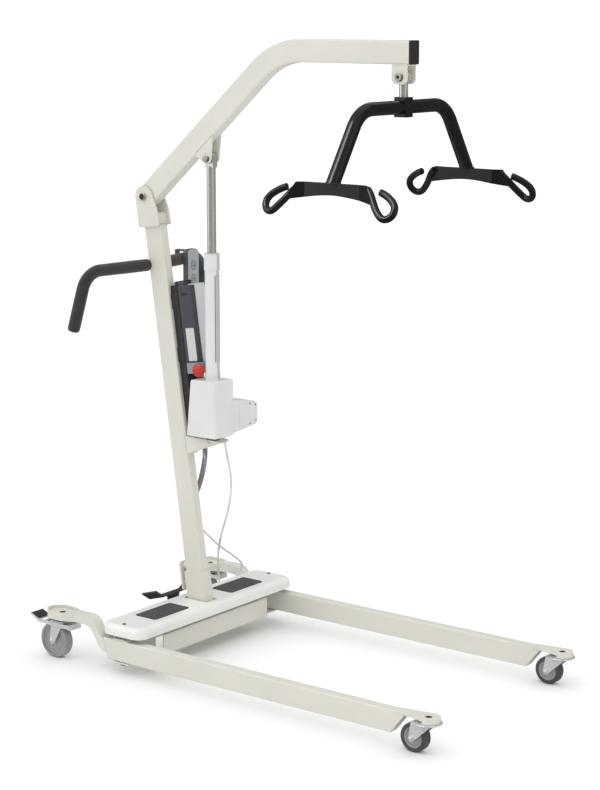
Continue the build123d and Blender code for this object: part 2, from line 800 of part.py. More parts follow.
def caster_hub(wheel_x, wheel_r, rim_r):
    """Moulded wheel centre with a boss, a thin web and a rim."""
    with BuildPart() as hub:
        with BuildSketch(Plane(origin=(MAST_X + wheel_x, LEG_Y, wheel_r), x_dir=(0, 1, 0), z_dir=(1, 0, 0))):
            with BuildLine():
                Polyline(
                    (-15.5, AXLE_R + RUNNING),
                    (15.5, AXLE_R + RUNNING),
                    (15.5, 9),
                    (9, 10.5),
                    (8, rim_r - 6),
                    (11.5, rim_r - 4),
                    (11.5, rim_r),
                    (-11.5, rim_r),
                    (-11.5, rim_r - 4),
                    (-8, rim_r - 6),
                    (-9, 10.5),
                    (-15.5, 9),
                    close=True,
                )
            make_face()
        revolve(axis=Axis((MAST_X + wheel_x, LEG_Y, wheel_r), (0, 1, 0)))
    return hub


def caster_tyre(wheel_x, wheel_r, rim_r):
    """Rounded tread on the wheel centre."""
    with BuildPart() as tyre:
        with BuildSketch(Plane(origin=(MAST_X + wheel_x, LEG_Y, wheel_r), x_dir=(0, 1, 0), z_dir=(1, 0, 0))):
            with Locations((0, (wheel_r + rim_r) / 2)):
                Rectangle(WHEEL_WIDTH - 2, wheel_r - rim_r)
        revolve(axis=Axis((MAST_X + wheel_x, LEG_Y, wheel_r), (0, 1, 0)))
        fillet(tyre.edges().filter_by(GeomType.CIRCLE).group_by(SortBy.RADIUS)[-1], 5)
    return tyre


def mirrored(builder):
    """The right-hand twin of a left-hand piece."""
    with BuildPart() as twin:
        mirror(builder.part, about=Plane.XZ)
    return twin


FRONT_RIM_R = 27.0
REAR_RIM_R = 38.0
left_front_fork = caster_fork(FRONT_STEM_X, FRONT_FORK_TOP, FRONT_WHEEL_R, FRONT_TRAIL, False)
left_front_hub = caster_hub(FRONT_STEM_X - FRONT_TRAIL, FRONT_WHEEL_R, FRONT_RIM_R)
left_front_tyre = caster_tyre(FRONT_STEM_X - FRONT_TRAIL, FRONT_WHEEL_R, FRONT_RIM_R)
left_rear_fork = caster_fork(REAR_STEM_X, REAR_FORK_TOP, REAR_WHEEL_R, REAR_TRAIL, True)
left_rear_hub = caster_hub(REAR_STEM_X - REAR_TRAIL, REAR_WHEEL_R, REAR_RIM_R)
left_rear_tyre = caster_tyre(REAR_STEM_X - REAR_TRAIL, REAR_WHEEL_R, REAR_RIM_R)

# Brake lever: two side arms on the fork, a foot pedal behind and a release pad in front.
ARM_IN = WHEEL_WIDTH / 2 + 2 + CHEEK + 1
with BuildPart() as left_brake_lever:
    for end in (1, -1):
        with BuildSketch(side(LEG_Y + end * (ARM_IN + 1.25))):
            with BuildLine():
                Polyline(
                    (-192, 95),
                    (-192, 105),
                    (-222, 106),
                    (-302, 106),
                    (-330, 117),
                    (-333, 114),
                    (-306, 98),
                    (-222, 93),
                    close=True,
                )
            make_face()
        extrude(amount=1.25, both=True)
        with BuildSketch(side(LEG_Y + end * (ARM_IN + 1))):
            with Locations((BRAKE_PIN_X, BRAKE_PIN_Z)):
                Circle(BRAKE_PIN_R)
        extrude(amount=end * 4.5)
    with BuildSketch(side(LEG_Y)):
        with BuildLine():
            Polyline((-304, 102), (-304, 106), (-331, 118), (-335, 118), (-335, 113), close=True)
        make_face()
    extrude(amount=ARM_IN + 2.5, both=True)
    with BuildSketch(side(LEG_Y)):
        with BuildLine():
            Polyline((-184, 92), (-188, 106), (-200, 106), (-200, 95), close=True)
        make_face()
    extrude(amount=ARM_IN + 2.5, both=True)
    with BuildSketch(side(LEG_Y)):
        with Locations((-286, 100.5)):
            Circle(4)
    extrude(amount=ARM_IN + 1, both=True)
left_brake_lever.part.label = "left_brake_lever"

left_casters = {
    "left_front_fork": left_front_fork,
    "left_front_hub": left_front_hub,
    "left_front_tyre": left_front_tyre,
    "left_rear_fork": left_rear_fork,
    "left_rear_hub": left_rear_hub,
    "left_rear_tyre": left_rear_tyre,
}
right_casters = {name.replace("left", "right"): mirrored(piece) for name, piece in left_casters.items()}
right_brake_lever = mirrored(left_brake_lever)
right_brake_lever.part.label = "right_brake_lever"

# ============================ leg spreading linkage =========================
PEDAL_X = -108.0
CRANK_PIN = 10.0
FINGER_X = -70.0
FINGER_Z = 105.0
BALL_R = 3.5

with BuildPart() as spread_pedal:
    with BuildSketch(across(BEAM_REAR - 2)):
        with Locations((0, PEDAL_AXIS_Z)):
            Circle(7)
    extrude(amount=-36)
    with BuildSketch(across(PEDAL_X + 8)):
        with BuildLine():
            Polyline((-12, 68), (12, 68), (16, 100), (26, 138), (-26, 138), (-16, 100), close=True)
        make_face()
    extrude(amount=-6)
    with BuildSketch(across(PEDAL_X + 24)):
        with BuildLine():
            Polyline(
                (-97, 164),
                (-64, 141.5),
                (64, 141.5),
                (97, 164),
                (94, 168),
                (62, 146),
                (-62, 146),
                (-94, 168),
                close=True,
            )
        make_face()
    extrude(amount=55, dir=(-1, 0, -0.3))
    with BuildSketch(across(PEDAL_X + 6)):
        with Locations((0, FINGER_Z)):
            Circle(2)
    extrude(amount=FINGER_X - PEDAL_X - 6)
    with BuildSketch(across(FINGER_X)):
        with BuildLine():
            CenterArc((0, FINGER_Z), BALL_R, -90, 180)
            Line((0, FINGER_Z + BALL_R), (0, FINGER_Z - BALL_R))
        make_face()
    revolve(axis=Axis((MAST_X + FINGER_X, 0, FINGER_Z), (0, 0, 1)))
spread_pedal.part.label = "spread_pedal"

CRANK_Z = BEAM_TOP + 1.5
with BuildPart() as bell_crank:
    with BuildSketch(level(CRANK_Z)):
        with Locations((CRANK_X, 0)):
            SlotCenterToCenter(2 * CRANK_PIN, 15)
            Circle(4 + RUNNING, mode=Mode.SUBTRACT)
        with Locations((CRANK_X - 14.5, 0)):
            Rectangle(17, 17)
        with Locations((CRANK_X - 21, 0)):
            Rectangle(18, 9.6, mode=Mode.SUBTRACT)
    extrude(amount=6)
    with BuildSketch(level(CRANK_Z)):
        with Locations((CRANK_X + CRANK_PIN, 0), (CRANK_X - CRANK_PIN, 0)):
            Circle(2.5)
    extrude(amount=15)
bell_crank.part.label = "bell_crank"


def tie_rod(pin_x, sign):
    """Flat rod from a crank pin to the leg's stud; the stud eye is wide open."""
    length_y = sign * LEG_Y
    with BuildPart() as rod:
        with BuildSketch(level(CRANK_Z + 7)):
            with BuildLine():
                Polyline(
                    (pin_x - 4, 0),
                    (pin_x + 4, 0),
                    (STUD_X + 4, length_y),
                    (STUD_X - 4, length_y),
                    close=True,
                )
            make_face()
            with Locations((pin_x, 0)):
                Circle(5.5)
            with Locations((STUD_X, length_y)):
                Circle(9)
                Circle(STUD_R + 2, mode=Mode.SUBTRACT)
            with Locations((pin_x, 0)):
                Circle(2.5 + RUNNING, mode=Mode.SUBTRACT)
        extrude(amount=5)
    return rod


left_tie_rod = tie_rod(CRANK_X - CRANK_PIN, 1)
left_tie_rod.part.label = "left_tie_rod"
right_tie_rod = tie_rod(CRANK_X + CRANK_PIN, -1)
right_tie_rod.part.label = "right_tie_rod"

# ============================ actuator ======================================
TUBE_TOP = 1126.0
HOUSING_TOP = 778.0
HOUSING_BOTTOM = 620.0
ROD_R = 12.5
TUBE_R = 20.0
EYE_BOLT_R = 5.0

with BuildPart() as actuator_rod:
    with BuildSketch(level(1030)):
        with Locations((ACTUATOR_X, 0)):
            Circle(ROD_R)
            Circle(10, mode=Mode.SUBTRACT)
    extrude(amount=315)
    with BuildSketch(level(1345)):
        with Locations((ACTUATOR_X, 0)):
            Circle(ROD_R)
    extrude(amount=20)
    with BuildSketch(side(0)):
        with BuildLine():
            Polyline((ACTUATOR_X - 14, 1362), (ACTUATOR_X + 14, 1362), (ACTUATOR_X + 14, EYE_Z), (ACTUATOR_X - 14, EYE_Z), close=True)
        make_face()
        with Locations((ACTUATOR_X, EYE_Z)):
            Circle(14)
    extrude(amount=9, both=True)
    with BuildSketch(side(0)):
        with Locations((ACTUATOR_X, EYE_Z)):
            Circle(EYE_BOLT_R + RUNNING)
    extrude(amount=20, both=True, mode=Mode.SUBTRACT)
actuator_rod.part.label = "actuator_rod"

with BuildPart() as actuator_tube:
    with BuildSketch(level(HOUSING_TOP - 6)):
        with Locations((ACTUATOR_X, 0)):
            Circle(TUBE_R)
    extrude(amount=TUBE_TOP - HOUSING_TOP + 6)
    with BuildSketch(level(HOUSING_TOP)):
        with Locations((ACTUATOR_X, 0)):
            Circle(22.5)
    extrude(amount=34, taper=4)
    with BuildSketch(level(TUBE_TOP - 44)):
        with Locations((ACTUATOR_X, 0)):
            Circle(TUBE_R + 2)
    extrude(amount=44)
    with BuildSketch(across(ACTUATOR_X + TUBE_R - 2)):
        with Locations((0, 960)):
            Rectangle(9, 220)
    extrude(amount=10, mode=Mode.SUBTRACT)
    with BuildSketch(level(HOUSING_TOP - 10)):
        with Locations((ACTUATOR_X, 0)):
            Circle(ROD_R + RUNNING)
    extrude(amount=500, mode=Mode.SUBTRACT)
actuator_tube.part.label = "actuator_tube"

with BuildPart() as motor_housing:
    with BuildSketch(side(38)):
        with BuildLine():
            Polyline((-5.5, HOUSING_BOTTOM), (96, HOUSING_BOTTOM), (96, HOUSING_TOP), (10, HOUSING_TOP), close=True)
        make_face()
    extrude(amount=83)
    fillet(motor_housing.edges().filter_by(Axis.Z), 7)
    fillet(motor_housing.faces().sort_by(Axis.Z)[-1].edges(), 5)
    with BuildSketch(across(92)):
        with BuildLine():
            Polyline((30, 622), (141, 635), (147, 650), (146, 690), (138, 699), (38, 719), (30, 719), close=True)
        make_face()
    extrude(amount=-77)
    fillet(motor_housing.faces().sort_by(Axis.Y)[-1].edges(), 4)
    with BuildSketch(side(34.5)):
        with BuildLine():
            Polyline((-2, HOUSING_BOTTOM), (92.5, HOUSING_BOTTOM), (92.5, 767), (13, 767), close=True)
        make_face()
    extrude(amount=76, mode=Mode.SUBTRACT)
    with BuildSketch(across(88.5)):
        with BuildLine():
            Polyline((30, 626), (138, 638.5), (143, 652), (142, 688), (136, 695), (38, 714.5), (30, 714.5), close=True)
        make_face()
    extrude(amount=-70, mode=Mode.SUBTRACT)
    with BuildSketch(level(HOUSING_TOP - 40)):
        with Locations((ACTUATOR_X, 0)):
            Circle(TUBE_R)
    extrude(amount=80, mode=Mode.SUBTRACT)
motor_housing.part.label = "motor_housing"

# Drive unit inside the housing: motor, gear case with its foot, and spindle up the tube.
with BuildPart() as drive_unit:
    with BuildSketch(side(132)):
        with Locations((50, 668)):
            Circle(22)
    extrude(amount=105)
    with BuildSketch(level(640)):
        with Locations((50, 0)):
            RectangleRounded(64, 64, 10)
    extrude(amount=84)
    with BuildSketch(level(CLEVIS_Z + 7.5)):
        with Locations((ACTUATOR_X, 0)):
            Rectangle(28, 26)
    extrude(amount=640 - CLEVIS_Z - 7.5)
    with BuildSketch(level(724)):
        with Locations((ACTUATOR_X, 0)):
            Circle(7)
    extrude(amount=1100 - 724)
drive_unit.part.label = "drive_unit"

# ============================ boom ==========================================
SLOPE = tan(radians(BOOM_ANGLE))
BEND_X = PIVOT_X + (BOOM_LEVEL_Z - PIVOT_Z) / SLOPE


with BuildLine(side(0)) as boom_line:
    FilletPolyline(
        (PIVOT_X, PIVOT_Z),
        (BEND_X, BOOM_LEVEL_Z),
        (BOOM_END_X, BOOM_LEVEL_Z),
        radius=BOOM_BEND_R,
    )
BOOM_START = Plane(origin=boom_line.line @ 0, x_dir=(0, 1, 0), z_dir=boom_line.line % 0)

with BuildPart() as boom_tube:
    with BuildSketch(BOOM_START):
        RectangleRounded(BOOM_WIDTH, BOOM_DEPTH, 5)
        RectangleRounded(BOOM_WIDTH - 2 * TUBE_WALL, BOOM_DEPTH - 2 * TUBE_WALL, 2.5, mode=Mode.SUBTRACT)
    sweep(path=boom_line.line)
    with BuildSketch(side(BOOM_WIDTH / 2)):
        with Locations((PIVOT_X, PIVOT_Z)):
            Circle(BOOM_DEPTH / 2)
    extrude(amount=BOOM_WIDTH)
    with BuildSketch(side(0)):
        with Locations((PIVOT_X, PIVOT_Z)):
            Circle(BOLT_R + RUNNING)
    extrude(amount=BOOM_WIDTH, both=True, mode=Mode.SUBTRACT)
boom_tube.part.label = "boom_tube"

with BuildPart() as boom_end_cap:
    with BuildSketch(across(BOOM_END_X)):
        with Locations((0, BOOM_LEVEL_Z)):
            RectangleRounded(BOOM_WIDTH, BOOM_DEPTH, 4)
    extrude(amount=5)
    fillet(boom_end_cap.faces().sort_by(Axis.X)[-1].edges(), 1.5)
    with BuildSketch(across(BOOM_END_X)):
        with Locations((0, BOOM_LEVEL_Z)):
            RectangleRounded(BOOM_WIDTH - 2 * TUBE_WALL - 0.2, BOOM_DEPTH - 2 * TUBE_WALL - 0.2, 3)
    extrude(amount=-14)
boom_end_cap.part.label = "boom_end_cap"

# Hanger bracket: a channel under the boom's end.
HANGER_GAP = 16.0
HANGER_EAR_HALF = 23.5
with BuildPart() as hanger_bracket:
    with BuildSketch(side(0)):
        with Locations((HANGER_X, (HANGER_Z - 4 + BOOM_LEVEL_Z - BOOM_DEPTH / 2) / 2)):
            Rectangle(2 * HANGER_EAR_HALF, BOOM_LEVEL_Z - BOOM_DEPTH / 2 - HANGER_Z + 4)
        with Locations((HANGER_X - 9.5, HANGER_Z - 4), (HANGER_X + 9.5, HANGER_Z - 4)):
            Circle(14)
        with Locations((HANGER_X, HANGER_Z - 4)):
            Rectangle(19, 28)
        with Locations((HANGER_X, HANGER_Z)):
            Circle(6, mode=Mode.SUBTRACT)
    extrude(amount=BOOM_WIDTH / 2, both=True)
    with BuildSketch(side(0)):
        with Locations((HANGER_X, BOOM_LEVEL_Z - BOOM_DEPTH / 2 - 4 - 50)):
            Rectangle(100, 100)
    extrude(amount=HANGER_GAP, both=True, mode=Mode.SUBTRACT)
hanger_bracket.part.label = "hanger_bracket"

# Lift bracket: two gussets under the inclined part, around the rod eye.
LIFT_GAP = 14.5
LIFT_WALL = 5.5
with BuildPart() as lift_bracket:
    with BuildSketch(side(0)):
        with BuildLine():
            Polyline(
                (ACTUATOR_X - 68, EYE_Z + 20),
                (ACTUATOR_X + 26, EYE_Z + 103),
                (ACTUATOR_X + 14, EYE_Z - 3),
                (ACTUATOR_X - 6, EYE_Z - 13),
                close=True,
            )
        make_face()
        with Locations((ACTUATOR_X, EYE_Z)):
            Circle(14)
            Circle(EYE_BOLT_R, mode=Mode.SUBTRACT)
    extrude(amount=LIFT_GAP + LIFT_WALL, both=True)
    with BuildSketch(side(0)):
        with Locations((ACTUATOR_X, EYE_Z)):
            Rectangle(300, 300)
    extrude(amount=LIFT_GAP, both=True, mode=Mode.SUBTRACT)
    with BuildSketch(BOOM_START):
        Rectangle(BOOM_WIDTH, BOOM_DEPTH)
    extrude(amount=500, mode=Mode.SUBTRACT)
lift_bracket.part.label = "lift_bracket"

with BuildPart() as boom_bolts:
    add(bolt_on_side(side(0), (HANGER_X, HANGER_Z), 6.0, BOOM_WIDTH / 2, 11, 7))
    with BuildSketch(side(BOOM_WIDTH / 2 + 7)):
        with Locations((HANGER_X, HANGER_Z)):
            Circle(6)
    extrude(amount=-8)
    add(bolt_on_side(side(0), (ACTUATOR_X, EYE_Z), EYE_BOLT_R, LIFT_GAP + LIFT_WALL, 9, 8))
boom_bolts.part.label = "boom_bolts"

# ============================ spreader ======================================
HANGER_ROD_R = 11.5
ROD_HEAD_R = 13.5
SADDLE_HALF = 25.0

with BuildPart() as hanger_rod:
    with BuildSketch(side(0)):
        with Locations((HANGER_X, HANGER_Z)):
            Circle(15)
    extrude(amount=HANGER_GAP - 1, both=True)
    with BuildSketch(level(SADDLE_Z - SADDLE_HALF)):
        with Locations((HANGER_X, 0)):
            Circle(HANGER_ROD_R)
    extrude(amount=HANGER_Z - SADDLE_Z + SADDLE_HALF - 9)
    with BuildSketch(level(SADDLE_Z - SADDLE_HALF)):
        with Locations((HANGER_X, 0)):
            Circle(ROD_HEAD_R)
    extrude(amount=3.95)
    with BuildSketch(side(0)):
        with Locations((HANGER_X, HANGER_Z)):
            Circle(6 + RUNNING)
    extrude(amount=40, both=True, mode=Mode.SUBTRACT)
hanger_rod.part.label = "hanger_rod"

ARCH_R = 17.5
ARCH_TOP_Y = 187.0
with BuildPart() as spreader_arch:
    with BuildLine(across(HANGER_X)) as arch_line:
        FilletPolyline(
            (-BAR_Y - 12, BAR_TOP - 20),
            (-ARCH_TOP_Y, SADDLE_Z),
            (ARCH_TOP_Y, SADDLE_Z),
            (BAR_Y + 12, BAR_TOP - 20),
            radius=88,
        )
    with BuildSketch(Plane(origin=arch_line.line @ 0, z_dir=arch_line.line % 0)):
        Circle(ARCH_R)
        Circle(ARCH_R - 2.5, mode=Mode.SUBTRACT)
    sweep(path=arch_line.line)
    split(bisect_by=level(BAR_TOP), keep=Keep.TOP)
    with BuildSketch(level(SADDLE_Z - 40)):
        with Locations((HANGER_X, 0)):
            Circle(HANGER_ROD_R + RUNNING)
    extrude(amount=80, mode=Mode.SUBTRACT)
spreader_arch.part.label = "spreader_arch"

with BuildPart() as spreader_saddle:
    with BuildSketch(level(SADDLE_Z - SADDLE_HALF)):
        with Locations((HANGER_X, 0)):
            RectangleRounded(39, 32, 4)
            Circle(HANGER_ROD_R + RUNNING, mode=Mode.SUBTRACT)
    extrude(amount=2 * SADDLE_HALF)
    with BuildSketch(level(SADDLE_Z - SADDLE_HALF)):
        with Locations((HANGER_X, 0)):
            Circle(ROD_HEAD_R + RUNNING)
    extrude(amount=4, mode=Mode.SUBTRACT)
    with BuildSketch(side(0)):
        with Locations((HANGER_X, SADDLE_Z)):
            Circle(ARCH_R)
    extrude(amount=60, both=True, mode=Mode.SUBTRACT)
spreader_saddle.part.label = "spreader_saddle"

# Sling hooks: four round rods that run down and out from the bar's ends and curl back.
BAR_END = 103.0


def hook_rod(x_sign, y_sign):
    """One hook's centre line in 3-D, drawn from the bar's top corner."""

    def at(out_x, out_y, drop):
        return (
            HANGER_X + x_sign * (BAR_END + out_x),
            y_sign * (BAR_Y + out_y),
            BAR_TOP - HOOK_ROD_R - drop,
        )

    with BuildLine(level(0)) as line:
        Spline(
            at(0, 0, 0),
            at(29, 16, 32),
            at(50, 27, 55),
            at(66, 29, 65),
            at(83, 24, 60),
            at(89, 15, 42),
            at(70, 5, 20),
            at(38, -2, 6),
        )
    return swept_rod(line.line, HOOK_ROD_R)


with BuildPart() as sling_hooks:
    for x_sign in (1, -1):
        for y_sign in (1, -1):
            add(hook_rod(x_sign, y_sign))
sling_hooks.part.label = "sling_hooks"

# Hook bars: pressed plates along X, splayed outwards at their ends.
BAR_THICK = 13.0


def hook_bar(y_sign):
    """One end bar: a plan band with splayed ends, trimmed to its arched side outline."""
    half = BAR_THICK / 2
    with BuildPart() as bar:
        with BuildSketch(level(BAR_TOP - 60)):
            with BuildLine():
                Polyline(
                    (HANGER_X - 132, y_sign * (BAR_Y + 18 + half)),
                    (HANGER_X - 82, y_sign * (BAR_Y + half)),
                    (HANGER_X + 82, y_sign * (BAR_Y + half)),
                    (HANGER_X + 132, y_sign * (BAR_Y + 18 + half)),
                    (HANGER_X + 132, y_sign * (BAR_Y + 18 - half)),
                    (HANGER_X + 82, y_sign * (BAR_Y - half)),
                    (HANGER_X - 82, y_sign * (BAR_Y - half)),
                    (HANGER_X - 132, y_sign * (BAR_Y + 18 - half)),
                    close=True,
                )
            make_face()
        extrude(amount=60)
        with BuildSketch(side(y_sign * BAR_Y)):
            with BuildLine():
                Line((HANGER_X - BAR_END, BAR_TOP), (HANGER_X + BAR_END, BAR_TOP))
                Line((HANGER_X + BAR_END, BAR_TOP), (HANGER_X + 133, BAR_TOP - 44))
                Spline(
                    (HANGER_X + 133, BAR_TOP - 44),
                    (HANGER_X + 55, BAR_TOP - 33),
                    (HANGER_X, BAR_TOP - 29),
                    (HANGER_X - 55, BAR_TOP - 33),
                    (HANGER_X - 133, BAR_TOP - 44),
                )
                Line((HANGER_X - 133, BAR_TOP - 44), (HANGER_X - BAR_END, BAR_TOP))
            make_face()
        extrude(amount=50, both=True, mode=Mode.INTERSECT)
    return bar.part


with BuildPart() as hook_bars:
    for y_sign in (1, -1):
        add(hook_bar(y_sign))
    add(sling_hooks.part, mode=Mode.SUBTRACT)
hook_bars.part.label = "hook_bars"

# ============================ files =========================================
for name, piece in {**left_casters, **right_casters}.items():
    piece.part.label = name
    export_step(piece.part, f"parts/{name}.step")

for piece in (
    cross_beam,
    base_cover,
    step_pads,
    cover_screws,
    mast_socket,
    mast_tube,
    mast_clamp,
    mast_fork,
    frame_bolts,
    handlebar,
    hand_grips,
    actuator_bracket,
    control_box,
    battery_pack,
    emergency_stop,
    pendant_body,
    up_button,
    down_button,
    pendant_cord,
    motor_cable,
    charger_cable,
    left_leg,
    right_leg,
    left_rear_arm,
    right_rear_arm,
    left_caster_stems,
    right_caster_stems,
    left_brake_lever,
    right_brake_lever,
    spread_pedal,
    bell_crank,
    left_tie_rod,
    right_tie_rod,
    actuator_rod,
    actuator_tube,
    motor_housing,
    drive_unit,
    boom_tube,
    boom_end_cap,
    hanger_bracket,
    lift_bracket,
    boom_bolts,
    hanger_rod,
    spreader_saddle,
    spreader_arch,
    sling_hooks,
    hook_bars,
):
    export_step(piece.part, f"parts/{piece.part.label}.step")
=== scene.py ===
import json
import math

import bmesh
import bpy
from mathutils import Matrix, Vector


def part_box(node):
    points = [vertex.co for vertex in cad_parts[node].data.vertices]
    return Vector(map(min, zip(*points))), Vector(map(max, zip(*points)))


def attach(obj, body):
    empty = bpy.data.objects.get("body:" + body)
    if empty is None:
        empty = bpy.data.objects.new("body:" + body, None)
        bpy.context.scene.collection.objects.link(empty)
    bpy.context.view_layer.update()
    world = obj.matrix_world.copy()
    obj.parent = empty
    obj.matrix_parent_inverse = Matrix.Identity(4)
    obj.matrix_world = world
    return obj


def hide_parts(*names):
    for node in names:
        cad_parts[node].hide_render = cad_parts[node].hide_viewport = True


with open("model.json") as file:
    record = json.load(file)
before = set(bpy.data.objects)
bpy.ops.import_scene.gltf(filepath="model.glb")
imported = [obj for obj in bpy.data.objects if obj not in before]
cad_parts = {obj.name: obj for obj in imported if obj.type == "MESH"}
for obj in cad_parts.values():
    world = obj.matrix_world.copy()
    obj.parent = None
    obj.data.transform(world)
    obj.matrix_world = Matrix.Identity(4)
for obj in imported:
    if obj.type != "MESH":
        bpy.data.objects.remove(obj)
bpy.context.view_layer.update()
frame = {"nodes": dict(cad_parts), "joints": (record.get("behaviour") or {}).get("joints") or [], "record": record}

NODES = frame["nodes"]
SLOT_OF = {part["node"]: part["material_slot"] for part in frame["record"]["subparts"]}
MM = 0.001
SIDES = (("left", 1), ("right", -1))
X_AXIS = Vector((1, 0, 0))
Y_AXIS = Vector((0, 1, 0))
Z_AXIS = Vector((0, 0, 1))


# ---------------------------------------------------------------- places taken from the frame

def node_box(name):
    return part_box(name)


def joint_place(name):
    for joint in frame["joints"]:
        if joint["name"] == name:
            return Vector(joint["pos_m"])
    raise ValueError(name)


def joint_axis(name):
    for joint in frame["joints"]:
        if joint["name"] == name:
            return Vector(joint["axis"]).normalized()
    raise ValueError(name)


UP = joint_axis("battery_lift_out")  # along the mast
AHEAD = Vector((UP.z, 0, -UP.x))  # square to the mast, forward
HINGE = joint_place("boom_lift")
MAST_FOOT = HINGE - UP * 1.1479 + AHEAD * 0.0098
BEAM_X = joint_place("left_leg_spread").x


def at(x, y, z):
    """Place in the frame from millimetres ahead of the cross beam, to the left and up."""
    return Vector((BEAM_X + x * MM, y * MM, z * MM))


def on_mast(ahead, y, along):
    """Place from millimetres in front of the mast's axis, to the left and along the mast."""
    return MAST_FOOT + AHEAD * (ahead * MM) + UP * (along * MM) + Y_AXIS * (y * MM)


# ---------------------------------------------------------------- mesh tools

def add_object(name, mesh, body, slot, material=None, bevel=0.0):
    """A finished mesh becomes a piece that rides on a body, in its slot's finish unless another is given."""
    piece = bpy.data.objects.new(name, mesh)
    bpy.context.scene.collection.objects.link(piece)
    mesh.materials.append(material or FINISHES[slot])
    if bevel:
        rounding = piece.modifiers.new("edges", "BEVEL")
        rounding.width = bevel
        rounding.segments = 3
        rounding.limit_method = "ANGLE"
        rounding.angle_limit = math.radians(35)
    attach(piece, body)
    return piece


def smooth_mesh(mesh, angle=35):
    mesh.shade_smooth()
    mesh.set_sharp_from_angle(angle=math.radians(angle))


def mesh_from(name, points, faces, angle=35):
    mesh = bpy.data.meshes.new(name)
    mesh.from_pydata([tuple(p) for p in points], [], faces)
    mesh.validate()
    tidy = bmesh.new()
    tidy.from_mesh(mesh)
    bmesh.ops.recalc_face_normals(tidy, faces=tidy.faces)
    tidy.to_mesh(mesh)
    tidy.free()
    smooth_mesh(mesh, angle)
    return mesh


def frame_about(direction, hint=None):
    """Two unit vectors square to a direction."""
    axis = direction.normalized()
    side = hint if hint is not None else (Z_AXIS if abs(axis.z) < 0.9 else X_AXIS)
    across = (side - axis * side.dot(axis)).normalized()
    return across, axis.cross(across)


def spline(points, steps=14):
    """Smooth path through the points, centripetal enough for a lead that hangs."""
    path = []
    count = len(points)
    for i in range(count - 1):
        before = points[max(i - 1, 0)]
        start = points[i]
        end = points[i + 1]
        after = points[min(i + 2, count - 1)]
        for k in range(steps):
            t = k / steps
            path.append(0.5 * (
                2 * start
                + (end - before) * t
                + (2 * before - 5 * start + 4 * end - after) * t * t
                + (3 * start - before - 3 * end + after) * t * t * t
            ))
    path.append(points[-1])
    return path


def even_path(points, step):
    """The same line with points at even distances."""
    lengths = [0.0]
    for a, b in zip(points, points[1:]):
        lengths.append(lengths[-1] + (b - a).length)
    count = max(2, round(lengths[-1] / step))
    result = []
    i = 0
    for k in range(count + 1):
        want = lengths[-1] * k / count
        while i < len(points) - 2 and lengths[i + 1] < want:
            i += 1
        span = lengths[i + 1] - lengths[i]
        t = (want - lengths[i]) / span if span else 0
        result.append(points[i].lerp(points[i + 1], t))
    return result


def path_frames(path):
    """Tangent and two square vectors at each point, carried along without twist."""
    result = []
    across = None
    for i, point in enumerate(path):
        tangent = (path[min(i + 1, len(path) - 1)] - path[max(i - 1, 0)]).normalized()
        if across is None:
            across, _ = frame_about(tangent)
        else:
            across = (across - tangent * across.dot(tangent)).normalized()
        result.append((point, tangent, across, tangent.cross(across)))
    return result


def swept(path, radius, around=20):
    """Vertices and faces of a round rod; radius is a number or a function of the distance along it."""
    frames = path_frames(path)
    points = []
    faces = []
    distance = 0.0
    for i, (centre, _, across, up) in enumerate(frames):
        if i:
            distance += (centre - frames[i - 1][0]).length
        r = radius(distance) if callable(radius) else radius
        for k in range(around):
            turn = 2 * math.pi * k / around
            points.append(centre + r * (math.cos(turn) * across + math.sin(turn) * up))
    for i in range(len(frames) - 1):
        for k in range(around):
            after = (k + 1) % around
            faces.append((i * around + k, i * around + after, (i + 1) * around + after, (i + 1) * around + k))
    faces.append(tuple(range(around - 1, -1, -1)))
    last = (len(frames) - 1) * around
    faces.append(tuple(last + k for k in range(around)))
    return points, faces


def turned(profile, centre, axis, around=48):
    """Vertices and faces of a turned shape; profile lists (radius, distance along the axis)."""
    across, up = frame_about(axis)
    axis = axis.normalized()
    points = []
    faces = []
    rings = []
    for r, h in profile:
        if r < 1e-7:
            rings.append([len(points)])
            points.append(centre + axis * h)
            continue
        ring = []
        for k in range(around):
            turn = 2 * math.pi * k / around
            ring.append(len(points))
            points.append(centre + axis * h + r * (math.cos(turn) * across + math.sin(turn) * up))
        rings.append(ring)
    for a, b in zip(rings, rings[1:]):
        if len(a) == 1 and len(b) == 1:
            continue
        for k in range(around):
            after = (k + 1) % around
            if len(a) == 1:
                faces.append((a[0], b[k], b[after]))
            elif len(b) == 1:
                faces.append((a[k], a[after], b[0]))
            else:
                faces.append((a[k], a[after], b[after], b[k]))
    return points, faces


def outline_plate(outline, depth, origin, x_dir, y_dir):
    """Vertices and faces of a plate with a 2-D outline, thick along x_dir cross y_dir."""
    normal = x_dir.cross(y_dir).normalized()
    count = len(outline)
    points = [origin + x_dir * u + y_dir * v for u, v in outline]
    points += [p + normal * depth for p in points]
    faces = [tuple(range(count - 1, -1, -1)), tuple(range(count, 2 * count))]
    for i in range(count):
        after = (i + 1) % count
        faces.append((i, after, count + after, count + i))
    return points, faces


def rounded_outline(width, height, radius, steps=6):
    """Rounded rectangle about the origin."""
    result = []
    for cx, cy, start in (
        (width / 2 - radius, height / 2 - radius, 0),
        (-width / 2 + radius, height / 2 - radius, 90),
        (-width / 2 + radius, -height / 2 + radius, 180),
        (width / 2 - radius, -height / 2 + radius, 270),
    ):
        for k in range(steps + 1):
            turn = math.radians(start + 90 * k / steps)
            result.append((cx + radius * math.cos(turn), cy + radius * math.sin(turn)))
    return result


def joined(*shapes):
    """Several (points, faces) shapes as one."""
    points = []
    faces = []
    for shape_points, shape_faces in shapes:
        base = len(points)
        points += shape_points
        faces += [tuple(base + i for i in face) for face in shape_faces]
    return points, faces


def hexagon(width):
    corner = width / 2 / math.cos(math.radians(30))
    return [
        (corner * math.cos(math.radians(60 * k)), corner * math.sin(math.radians(60 * k)))
        for k in range(6)
    ]


# ---------------------------------------------------------------- finishes

